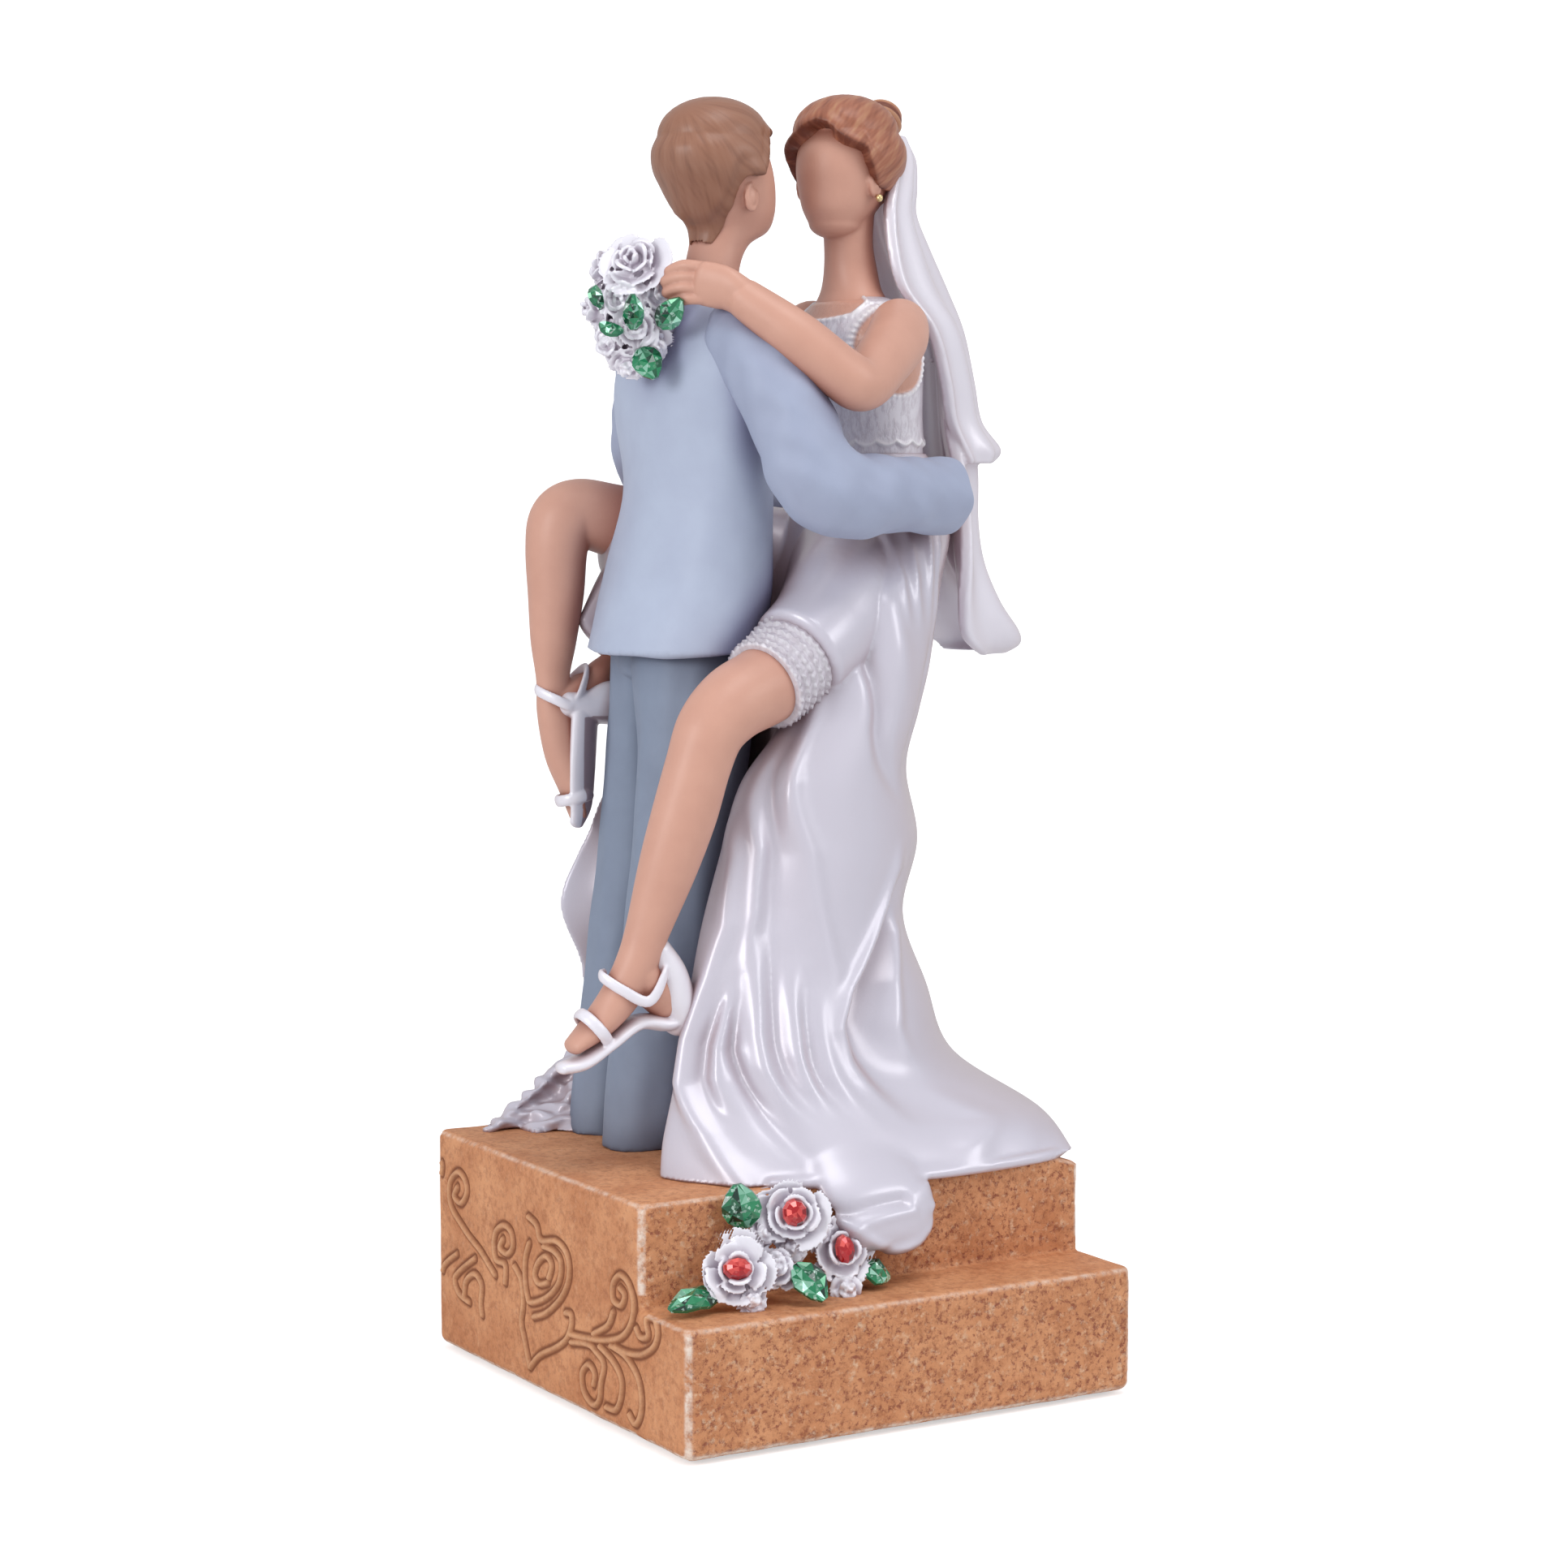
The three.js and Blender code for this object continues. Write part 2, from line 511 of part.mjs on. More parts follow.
const gemSeatShare = 0.3;
const stepLeafShares = [
  [[-0.29, 0.16, 0.58], [-0.31, 0.2, 1.02], 0.037, [-0.5, -0.8, 0.2]],
  [[-0.37, 0.34, 0.12], [-0.47, 0.5, 0.08], 0.033, [-0.2, -0.5, 0.9]],
  [[-0.22, 0.5, 0.32], [-0.19, 0.8, 0.06], 0.033, [-0.2, -0.7, 0.7]],
  [[-0.06, 0.4, 0.2], [0.0, 0.42, 0.1], 0.03, [0.1, -0.7, 0.7]],
];
const leafSpreadShares = [0.25, 0.8, 1, 0.8, 0.22];
const gemLevelShares = [[0.7, 0], [1, 0.45], [0.62, 1]];
const roseProfileShares = [
  [0.3, -0.7],
  [0.75, -0.45],
  [1, 0],
  [0.98, 0.3],
  [0.8, 0.5],
  [0.66, 0.26],
  [0.5, 0.5],
  [0.3, 0.6],
];
const budProfileShares = [
  [0.5, -0.6],
  [1, -0.1],
  [0.9, 0.45],
  [0.55, 0.2],
  [0.32, 0.55],
];
const rosePetals = 5;
const petalLobeShare = 0.09;
const petalTurnShare = 0.207;

const resin = (color, roughness, metalness = 0) => ({ color, roughness, metalness });
const stone = resin("#bd7d52", 0.8);
const felt = resin("#6b5646", 0.95);
const jacketPaint = resin("#a9b5cd", 0.6);
const trouserPaint = resin("#8495a9", 0.62);
const skinPaint = resin("#dba98f", 0.5);
const brownHair = resin("#8f6b58", 0.6);
const auburnHair = resin("#a5684e", 0.5);
const pearl = resin("#dcd6e0", 0.28);
const lace = resin("#e6e2ea", 0.5);
const gold = resin("#d8a63e", 0.3, 0.8);
const petalPaint = resin("#ece8ee", 0.4);
const leafGlitter = resin("#1f8a57", 0.35);
const rubyRed = resin("#c31c1c", 0.15);

function spot(share) {
  return new THREE.Vector3(
    share[0] * coupleHeight,
    share[1] * coupleHeight + coupleSetback,
    share[2] * coupleHeight + standLevel,
  );
}

function direction(share) {
  return new THREE.Vector3(share[0], share[1], share[2]).normalize();
}

function mix(rows, place) {
  const last = rows.length - 1;
  const index = Math.min(Math.floor(place), last - 1);
  const t = place - index;
  const before = rows[Math.max(index - 1, 0)];
  const from = rows[index];
  const to = rows[index + 1];
  const after = rows[Math.min(index + 2, last)];
  return from.map((value, k) => {
    const bend = 2 * before[k] - 5 * value + 4 * to[k] - after[k];
    const twist = 3 * value - before[k] - 3 * to[k] + after[k];
    return value + 0.5 * t * (to[k] - before[k] + t * (bend + t * twist));
  });
}

function samples(rows, perSpan) {
  const count = (rows.length - 1) * perSpan;
  return Array.from({ length: count + 1 }, (_, i) => mix(rows, i / perSpan));
}

function capFaces(ring) {
  const normal = new THREE.Vector3();
  ring.forEach((point, k) => {
    normal.add(new THREE.Vector3().crossVectors(point, ring[(k + 1) % ring.length]));
  });
  normal.normalize();
  const side = new THREE.Vector3().subVectors(ring[1], ring[0]);
  side.addScaledVector(normal, -side.dot(normal)).normalize();
  const rise = new THREE.Vector3().crossVectors(normal, side);
  const flat = ring.map((point) => new THREE.Vector2(point.dot(side), point.dot(rise)));
  return THREE.ShapeUtils.triangulateShape(flat, []);
}

// Closed body whose skin passes through rings of equal point count.
function skin(rings) {
  const sides = rings[0].length;
  const points = rings.flat();
  const faces = capFaces(rings[0]).map(([a, b, c]) => [c, b, a]);
  for (let r = 0; r + 1 < rings.length; r++) {
    for (let k = 0; k < sides; k++) {
      const next = (k + 1) % sides;
      const low = r * sides;
      const high = low + sides;
      faces.push([low + k, low + next, high + next], [low + k, high + next, high + k]);
    }
  }
  const top = (rings.length - 1) * sides;
  faces.push(...capFaces(rings.at(-1)).map((face) => face.map((k) => k + top)));
  return toSolid(points, faces);
}

function toSolid(points, faces) {
  let volume = 0;
  for (const [a, b, c] of faces) {
    volume += points[a].dot(new THREE.Vector3().crossVectors(points[b], points[c]));
  }
  const outward = volume > 0 ? faces : faces.map(([a, b, c]) => [c, b, a]);
  return new wasm.Manifold(new wasm.Mesh({
    numProp: 3,
    vertProperties: Float32Array.from(points.flatMap((point) => point.toArray())),
    triVerts: Uint32Array.from(outward.flat()),
  }));
}

function fromGeometry(geometry) {
  const bare = geometry.clone();
  bare.deleteAttribute("normal");
  bare.deleteAttribute("uv");
  const merged = mergeVertices(bare);
  const place = merged.getAttribute("position");
  const points = Array.from({ length: place.count }, (_, i) => {
    return new THREE.Vector3().fromBufferAttribute(place, i);
  });
  const order = Array.from(merged.index.array);
  const faces = [];
  for (let i = 0; i < order.length; i += 3) {
    faces.push(order.slice(i, i + 3));
  }
  return toSolid(points, faces);
}

function loop(centre, along, hint, halfAcross, halfThrough, sides) {
  const across = hint.clone().addScaledVector(along, -hint.dot(along)).normalize();
  const through = new THREE.Vector3().crossVectors(along, across);
  return Array.from({ length: sides }, (_, k) => {
    const turn = (k / sides) * fullTurn;
    return centre
      .clone()
      .addScaledVector(across, halfAcross * Math.cos(turn))
      .addScaledVector(through, halfThrough * Math.sin(turn));
  });
}

// Round-sectioned body along a table of places and half-widths, its ends domed or flat. Its
// sections stand square to the path, or level.
function limb(rows, shape, grow = 0) {
  const { sides = 16, perSpan = 2, hint = acrossX, level = false } = shape;
  const { startDome = 1, endDome = 1, domeSteps = 3 } = shape;
  const stations = samples(rows, perSpan);
  const centres = stations.map(spot);
  const rings = [];
  const alongAt = (i) => {
    const from = centres[Math.max(i - 1, 0)];
    const to = centres[Math.min(i + 1, centres.length - 1)];
    const along = new THREE.Vector3().subVectors(to, from).normalize();
    return level ? new THREE.Vector3(0, 0, Math.sign(along.z)) : along;
  };
  const radiiAt = (i) => [stations[i][3] * coupleHeight + grow, stations[i][4] * coupleHeight + grow];
  const domed = (i, sign, dome) => {
    const along = alongAt(i);
    const [halfAcross, halfThrough] = radiiAt(i);
    if (dome === 0) {
      return grow > 0 ? [loop(centres[i].clone().addScaledVector(along, sign * grow), along, hint,
        halfAcross, halfThrough, sides)] : [];
    }
    const reach = Math.min(halfAcross, halfThrough) * dome;
    return Array.from({ length: domeSteps }, (_, s) => {
      const tilt = ((s + 1) / (domeSteps + 0.35)) * quarterTurn;
      const centre = centres[i].clone().addScaledVector(along, sign * reach * Math.sin(tilt));
      return loop(centre, along, hint, halfAcross * Math.cos(tilt), halfThrough * Math.cos(tilt), sides);
    });
  };
  rings.push(...domed(0, -1, startDome).reverse());
  centres.forEach((centre, i) => {
    rings.push(loop(centre, alongAt(i), hint, ...radiiAt(i), sides));
  });
  rings.push(...domed(centres.length - 1, 1, endDome));
  return skin(rings);
}

function ball(centre, radii, grow, sides = 14) {
  const sphere = new THREE.SphereGeometry(1, sides, Math.round(sides * 0.6));
  sphere.scale(radii[0] + grow, radii[1] + grow, radii[2] + grow);
  sphere.translate(centre.x, centre.y, centre.z);
  return fromGeometry(sphere);
}

function joined(parts) {
  return parts.reduce((whole, part) => whole.add(part));
}

function largest(solid) {
  const bodies = solid.decompose();
  return bodies.reduce((best, body) => (body.volume() > best.volume() ? body : best));
}

// Turns rows given as forward, sideways and height into the couple's frame.
function headed(rows, placeShare, heading) {
  return rows.map(([forward, sideways, height, ...widths]) => [
    placeShare[0] + forward * Math.cos(heading) - sideways * Math.sin(heading),
    placeShare[1] + forward * Math.sin(heading) + sideways * Math.cos(heading),
    height,
    ...widths,
  ]);
}

function headingVector(heading) {
  return new THREE.Vector3(Math.cos(heading), Math.sin(heading), 0);
}

// Rounded slab: rings of a round-cornered plan, drawn in at the bottom and top edges.
function slab(bounds, topRounds, grow) {
  const { left, right, front, back, bottom, top } = bounds;
  const steps = 3;
  const arc = Array.from({ length: steps + 1 }, (_, i) => (i / steps) * quarterTurn);
  const plan = (height, insets) => {
    const west = left - grow + insets.left;
    const east = right + grow - insets.right;
    const south = front - grow + insets.front;
    const north = back + grow - insets.back;
    const radius = cornerRadius;
    const corners = [
      [east - radius, south + radius, -quarterTurn],
      [east - radius, north - radius, 0],
      [west + radius, north - radius, quarterTurn],
      [west + radius, south + radius, 2 * quarterTurn],
    ];
    return corners.flatMap(([x, y, start]) => arc.map((turn) => new THREE.Vector3(
      x + radius * Math.cos(start + turn), y + radius * Math.sin(start + turn), height)));
  };
  const even = (inset) => ({ left: inset, right: inset, front: inset, back: inset });
  const rings = arc.map((turn) => plan(
    bottom + footRadius * (1 - Math.cos(turn)), even(footRadius * (1 - Math.sin(turn)))));
  const deepest = Math.max(...Object.values(topRounds));
  arc.forEach((turn) => {
    const inset = Object.fromEntries(Object.entries(topRounds).map(([side, radius]) => {
      const drop = Math.min(deepest * (1 - Math.sin(turn)), radius);
      const reach = Math.sqrt(Math.max(radius * radius - (radius - drop) ** 2, 0));
      return [side, radius - reach];
    }));
    rings.push(plan(top - deepest * (1 - Math.sin(turn)), inset));
  });
  return skin(rings);
}

function steppedBase(grow) {
  const span = { left: -baseLength / 2, right: baseLength / 2, bottom: feltThickness };
  const lower = slab(
    { ...span, front: -baseDepth / 2, back: riserPlace + blockOverlap, top: treadLevel },
    { left: nosingRadius, right: nosingRadius, front: nosingRadius, back: nosingRadius }, grow);
  const upper = slab(
    { ...span, front: riserPlace, back: baseDepth / 2, top: standLevel },
    { left: nosingRadius, right: wornEdgeRadius, front: nosingRadius, back: nosingRadius }, grow);
  return lower.add(upper);
}

function feltPad() {
  const x = baseLength / 2 - footRadius - feltInset;
  const y = baseDepth / 2 - footRadius - feltInset;
  const radius = feltCornerRadius;
  const outline = new THREE.Shape();
  outline.moveTo(-x + radius, -y);
  outline.lineTo(x - radius, -y);
  outline.absarc(x - radius, -y + radius, radius, -quarterTurn, 0);
  outline.absarc(x - radius, y - radius, radius, 0, quarterTurn);
  outline.absarc(-x + radius, y - radius, radius, quarterTurn, 2 * quarterTurn);
  outline.absarc(-x + radius, -y + radius, radius, 2 * quarterTurn, 3 * quarterTurn);
  return fromGeometry(new THREE.ExtrudeGeometry(outline, {
    depth: feltThickness, bevelEnabled: false, curveSegments: 3,
  }));
}

function trousers(grow) {
  const leg = { level: true, sides: 14, perSpan: 1, startDome: 0, endDome: 0 };
  const seat = { level: true, sides: 16, perSpan: 1, startDome: 0.3, endDome: 0.4, domeSteps: 2 };
  return joined([
    limb(nearLegShares, leg, grow),
    limb(farLegShares, leg, grow),
    limb(seatShares, seat, grow),
  ]);
}

function jacket(grow) {
  return limb(jacketShares, { level: true, sides: 18, perSpan: 1, startDome: 0, endDome: 0.3 }, grow);
}

function hand(palmRows, fingerRows, grow) {
  const palm = limb(palmRows, { sides: 10, perSpan: 1, hint: acrossX, domeSteps: 2 }, grow);
  const radiusShare = fingerRadius / coupleHeight;
  const fingers = fingerRows.map((places) => limb(
    places.map((place) => [...place, radiusShare, radiusShare]),
    { sides: 6, perSpan: 1, hint: up, domeSteps: 1 }, grow));
  return joined([palm, ...fingers]);
}

// Ears: one each side of the head, placed by forward and height shares.
function ears([forward, height], sideShare, headPlaceShare, heading, grow) {
  const places = [[forward, -sideShare, height], [forward, sideShare, height]];
  return joined(places.map((place) => ear(place, headPlaceShare, heading, grow)));
}

function ear(share, headPlaceShare, heading, grow) {
  const row = headed([share], headPlaceShare, heading)[0];
  const shell = new THREE.SphereGeometry(1, 8, 5);
  shell.scale(earDepth / 2 + grow, earThickness / 2 + grow, earHeight / 2 + grow);
  shell.rotateZ(heading);
  const centre = spot(row);
  shell.translate(centre.x, centre.y, centre.z);
  return fromGeometry(shell);
}

function skull(rows, placeShare, heading, grow, startDome = 0) {
  return limb(headed(rows, placeShare, heading), {
    level: true, sides: 14, perSpan: 1, hint: headingVector(heading), startDome, endDome: 0.75,
    domeSteps: 2,
  }, grow);
}

function groomHead(grow) {
  return joined([
    skull(groomHeadShares, groomHeadPlaceShare, groomHeading, grow),
    ears(groomEarShare, groomEarSideShare, groomHeadPlaceShare, groomHeading, grow),
  ]);
}

function brideHead(grow) {
  const neck = { level: true, sides: 12, perSpan: 1, startDome: 0, endDome: 0 };
  return joined([
    limb(brideNeckShares, neck, grow),
    skull(brideHeadShares, brideHeadPlaceShare, brideHeading, grow, 0.6),
    ears(brideEarShare, brideEarSideShare, brideHeadPlaceShare, brideHeading, grow),
  ]);
}

// Block that trims a hair cap to its hairline, drawn in the head's side view.
function hairTrim(hairlineShares, placeShare, heading) {
  const reach = hairCutWidth / coupleHeight;
  const sides = [-reach, reach].map((sideways) => headed(
    hairlineShares.map(([forward, height]) => [forward, sideways, height]), placeShare, heading).map(spot));
  return skin(sides);
}

function hairCap(rows, placeShare, heading, depth, hairlineShares, grow) {
  const cap = skull(rows.slice(-capRowCount), placeShare, heading, depth + grow, 0.3);
  return cap.subtract(hairTrim(hairlineShares, placeShare, heading));
}

function groomHair(grow) {
  const cap = hairCap(groomHeadShares, groomHeadPlaceShare, groomHeading, groomHairDepth,
    groomHairlineShares, grow);
  const lock = limb(headed(groomForelockShares, groomHeadPlaceShare, groomHeading),
    { sides: 10, perSpan: 1, hint: acrossY, domeSteps: 2 }, grow);
  return cap.add(lock);
}

function brideHair(grow) {
  return hairCap(brideHairShares, brideHeadPlaceShare, brideHeading, 0, brideHairlineShares, grow);
}

function bun(grow) {
  const centre = spot(headed([bunShare], brideHeadPlaceShare, brideHeading)[0]);
  return ball(centre, [bunRadius, bunRadius, bunRadius], grow, 10);
}

// Level lines stay clear of an axis that itself stands nearly upright.
function hintFor(axis) {
  return Math.abs(axis.z) > steepestTilt ? acrossX : up;
}

// Ring of diamond section round an axis.
function ringAround(centre, axis, radius, thickness, halfWidth, grow) {
  const section = [[-1, 0], [0, 1], [1, 0], [0, -1]];
  const sides = 12;
  const points = [];
  const faces = [];
  section.forEach(([wide, out]) => {
    const middle = centre.clone().addScaledVector(axis, wide * (halfWidth + grow));
    const reach = radius + out * (thickness / 2 + grow);
    points.push(...loop(middle, axis, hintFor(axis), reach, reach, sides));
  });
  for (let r = 0; r < section.length; r++) {
    const other = (r + 1) % section.length;
    for (let k = 0; k < sides; k++) {
      const next = (k + 1) % sides;
      faces.push([r * sides + k, r * sides + next, other * sides + next]);
      faces.push([r * sides + k, other * sides + next, other * sides + k]);
    }
  }
  return toSolid(points, faces);
}

function beadBand(grow) {
  const centre = spot(headed([bandShare], brideHeadPlaceShare, brideHeading)[0]);
  const middle = spot(headed([bunShare], brideHeadPlaceShare, brideHeading)[0]);
  const axis = new THREE.Vector3().subVectors(middle, centre).normalize();
  return ringAround(centre, axis, beadBandRadius, beadBandThickness * 2, beadBandThickness, grow);
}

function earring(side, grow) {
  const row = headed([[brideEarShare[0], side * earringSideShare, brideEarShare[1] + earringDropShare]],
    brideHeadPlaceShare, brideHeading)[0];
  return ball(spot(row), [earringRadius, earringRadius, earringRadius], grow, 8);
}

function brideArm(armRows, palmRows, fingerRows, grow) {
  return limb(armRows, { sides: 12, perSpan: 1, hint: up, domeSteps: 2 }, grow)
    .add(hand(palmRows, fingerRows, grow));
}

function brideLeg(legRows, heelRows, grow) {
  return limb(legRows, { sides: 12, perSpan: 1, hint: acrossY, domeSteps: 2 }, grow)
    .add(limb(heelRows, { sides: 10, perSpan: 1, hint: acrossY, domeSteps: 1 }, grow));
}

// Which way a limb runs at a place along its table.
function axisAt(rows, place) {
  const ahead = spot(mix(rows, place + axisStepShare));
  const behind = spot(mix(rows, place - axisStepShare));
  return new THREE.Vector3().subVectors(ahead, behind).normalize();
}

function bandOn(rows, place, halfWidth, thickness, grow) {
  const row = mix(rows, place);
  const radius = Math.max(row[3], row[4]) * coupleHeight;
  return ringAround(spot(row), axisAt(rows, place), radius, thickness, halfWidth, grow);
}

// Lace garter: a wide band round the raised thigh whose outer face ripples.
function garter(grow) {
  const steps = 5;
  const sides = 24;
  const [from, to] = garterPlaceShares;
  const rings = Array.from({ length: steps + 1 }, (_, i) => {
    const place = from + (i / steps) * (to - from);
    const row = mix(leftLegShares, place);
    const centre = spot(row);
    const ruffle = i % 2 === 0 ? garterRuffle : 0;
    const radius = Math.max(row[3], row[4]) * coupleHeight + garterThickness + ruffle + grow;
    return loop(centre, axisAt(leftLegShares, place), up, radius, radius, sides).map((point, k) => {
      const wave = 1 + (garterRuffle / radius) * garterWaveShare * Math.cos(k * quarterTurn * 2);
      return point.sub(centre).multiplyScalar(wave).add(centre);
    });
  });
  return skin(rings);
}

function shoe(soleRows, cupRows, legRows, strapRows, toePlace, grow) {
  const sole = limb(soleRows, { sides: 8, perSpan: 1, hint: acrossY, domeSteps: 1 }, grow);
  const cup = limb(cupRows, { sides: 8, perSpan: 1, hint: acrossY, domeSteps: 1 }, grow);
  const ankle = limb(strapRows.map((row) => [...row, strapWidthShare, strapDepthShare]),
    { sides: 5, perSpan: 1, hint: up, domeSteps: 1 }, grow);
  return joined([sole, cup, ankle, bandOn(legRows, toePlace, strapHalfWidth, strapThickness * 2, grow)]);
}

// Closed curve through the points: the x, y of each step and how far round it stands in points.
function closedCurve(points, stepsPerSpan) {
  const count = points.length;
  return points.flatMap((_, k) => {
    const rows = [-1, 0, 1, 2].map((step) => points[(k + step + count) % count]);
    const steps = stepsPerSpan(k);
    return Array.from({ length: steps }, (_, i) => [...mix(rows, 1 + i / steps), k + i / steps]);
  });
}

// How far a fold line lifts the fall at a height and a place round its outline.
function foldLift(rows, height, run) {
  for (let i = 0; i + 1 < rows.length; i++) {
    const [top, low] = [rows[i], rows[i + 1]];
    if (height <= top[0] && height > low[0]) {
      const t = (top[0] - height) / (top[0] - low[0]);
      const [, place, halfWidth, depth] = top.map((value, k) => value + t * (low[k] - value));
      return depth * Math.exp(-(((run - place) / halfWidth) ** 2));
    }
  }
  return 0;
}

// Falling cloth: plan outlines stacked in height, lifted and sunk along its fold lines.
function skirtFall(grow) {
  const outlines = skirtShares.map(([height, ...points]) => [height, ...points.flat()]);
  const levels = samples(outlines, 2);
  const rings = levels.map(([height, ...flat]) => {
    const points = Array.from({ length: flat.length / 2 }, (_, i) => [flat[2 * i], flat[2 * i + 1]]);
    const curve = closedCurve(points, (span) => (span < foldSpans ? foldSteps : plainSteps));
    const ring = curve.map(([x, y]) => spot([x, y, Math.max(height, 0)]));
    return ring.map((point, k) => {
      const before = ring[(k + ring.length - 1) % ring.length];
      const after = ring[(k + 1) % ring.length];
      const outward = new THREE.Vector3(after.y - before.y, before.x - after.x, 0).normalize();
      const lift = foldLineShares.reduce((sum, rows) => sum + foldLift(rows, height, curve[k][2]), 0);
      return point.clone().addScaledVector(outward, grow + lift * foldDepth);
    });
  });
  return skin(rings);
}

function skirt(grow) {
  const rollShare = hemRollRadius / coupleHeight;
  const rollRows = hemRollShares.map(([x, y, z]) => [x, y, z, rollShare, rollShare]);
  const thigh = { perSpan: 1, hint: acrossY, startDome: 0.4, endDome: 0.25, domeSteps: 2 };
  return joined([
    skirtFall(grow),
    limb(nearThighSleeveShares, { ...thigh, sides: 16 }, grow),
    limb(farThighSleeveShares, { ...thigh, sides: 12 }, grow),
    limb(farThighDropShares, { sides: 10, perSpan: 1, hint: acrossY, domeSteps: 2 }, grow),
    limb(trainShares, { sides: 14, perSpan: 1, startDome: 0.3, domeSteps: 2 }, grow),
    limb(rollRows, { sides: 6, perSpan: 1, hint: up, domeSteps: 1 }, grow),
  ]);
}

// Hanging sheet: a curved strip of even thickness at each height, drawn thin at its two edges.
function sheet(rows, foldCount, grow) {
  const steps = 8;
  const rings = rows.map(([height, near, bend, far, thickness]) => {
    const path = [near, bend, far];
    const middle = Array.from({ length: steps + 1 }, (_, i) => {
      const [x, y] = mix(path, (i / steps) * 2);
      return spot([x, y, height]);
    });
    const half = (thickness * coupleHeight) / 2;
    const outer = [];
    const inner = [];
    middle.forEach((point, i) => {
      const before = middle[Math.max(i - 1, 0)];
      const after = middle[Math.min(i + 1, steps)];
      const outward = new THREE.Vector3(after.y - before.y, before.x - after.x, 0).normalize();
      const swell = Math.sqrt(Math.max(Math.sin((i / steps) * Math.PI), 0));
      const edge = veilEdgeShare + (1 - veilEdgeShare) * swell;
      const wave = veilFoldDepth * Math.cos((i / steps) * foldCount * fullTurn) * (i % steps === 0 ? 0 : 1);
      outer.push(point.clone().addScaledVector(outward, half * edge + wave + grow));
      inner.push(point.clone().addScaledVector(outward, -half * edge + wave - grow));
    });
    return [...outer, ...inner.reverse()];
  });
  return skin(rings);
}

function veil(grow) {
  return sheet(veilTopShares, 3, grow).add(sheet(veilFallShares, 2, grow));
}

// Rose: rings round its facing line, each rim swelling into petals that turn from ring to ring.
function rose(centre, facing, radius, profile, sides, grow) {
  const widest = profile.findIndex((row) => row[0] === 1);
  const rings = profile.map(([out, rise], i) => {
    const dips = i > 0 && i + 1 < profile.length && rise < profile[i - 1][1] && rise < profile[i + 1][1];
    const lift = i > widest ? grow : -grow;
    const level = centre.clone().addScaledVector(facing, rise * radius + lift);
    const reach = out * radius + (dips ? 0 : grow);
    return loop(level, facing, hintFor(facing), reach, reach, sides).map((point, k) => {
      const turn = ((k / sides) * rosePetals + i * petalTurnShare) * fullTurn;
      return point.sub(level).multiplyScalar(1 + petalLobeShare * Math.cos(turn)).add(level);
    });
  });
  return skin(rings);
}

function bouquetRoses(grow) {
  const core = limb(bouquetCoreShares, { sides: 8, perSpan: 1, domeSteps: 1 }, grow);
  const roses = bouquetRoseShares.map(([x, y, z, radius, ...facing]) => rose(
    spot([x, y, z]), direction(facing), radius * coupleHeight, budProfileShares, 7, grow));
  return joined([core, ...roses]);
}

// Leaf: a thin pointed blade folded along its rib.
function leaf(from, to, halfWidth, facing, grow) {
  const along = new THREE.Vector3().subVectors(to, from);
  const length = along.length();
  along.normalize();
  const out = facing.clone().addScaledVector(along, -facing.dot(along)).normalize();
  const side = new THREE.Vector3().crossVectors(along, out);
  const rings = leafSpreadShares.map((share, i) => {
    const centre = from.clone().addScaledVector(along, (length * i) / (leafSpreadShares.length - 1));
    const wide = halfWidth * share + grow;
    const half = leafThickness / 2 + grow;
    const at = (across, lift) => centre.clone().addScaledVector(side, across).addScaledVector(out, lift);
    return [at(-wide, leafFold * share), at(-wide / 2, leafFold * share / 2 - half), at(0, -half),
      at(wide / 2, leafFold * share / 2 - half), at(wide, leafFold * share),
      at(wide / 2, leafFold * share / 2 + half), at(0, half), at(-wide / 2, leafFold * share / 2 + half)];
  });
  return skin(rings);
}

function onSteps(share) {
  return new THREE.Vector3(
    share[0] * baseLength,
    riserPlace - share[1] * treadDepth,
    treadLevel + share[2] * upperStepRise,
  );
}

function stepRose(row, grow) {
  return rose(onSteps(row), direction(row.slice(3, 6)), stepRoseRadius, roseProfileShares, 12, grow);
}

function gem(row, grow) {
  const facing = direction(row.slice(3, 6));
  const seat = onSteps(row).addScaledVector(facing, stepRoseRadius * gemSeatShare);
  const radius = stepRoseRadius * gemRadiusShare;
  const height = gemHeight + stepRoseRadius * gemSeatShare;
  return skin(gemLevelShares.map(([share, lift]) => loop(
    seat.clone().addScaledVector(facing, lift * height), facing, up,
    radius * row[7] * share + grow, radius * row[6] * share + grow, 12)));
}

const placed = [];

function apart(first, second) {
  const a = first.boundingBox();
  const b = second.boundingBox();
  return [0, 1, 2].some((k) => a.max[k] < b.min[k] || b.max[k] < a.min[k]);
}

// Adds a piece, hollowed where an earlier piece already stands, with the clearance round it.
function add(name, finish, shape) {
  let body = shape(0);
  for (const earlier of placed) {
    if (!apart(body, earlier.cutter)) {
      body = body.subtract(earlier.cutter);
    }
  }
  placed.push({
    name,
    finish,
    body: largest(body.simplify(facetTolerance)),
    cutter: shape(clearance),
  });
}

function toMesh({ name, finish, body }) {
  const mesh = body.getMesh();
  const geometry = new THREE.BufferGeometry();
  geometry.setAttribute("position", new THREE.BufferAttribute(new Float32Array(mesh.vertProperties), 3));
  geometry.setIndex(new THREE.BufferAttribute(new Uint32Array(mesh.triVerts), 1));
  geometry.computeVertexNormals();
  const piece = new THREE.Mesh(geometry, new THREE.MeshStandardMaterial(finish));
  piece.name = name;
  return piece;
}

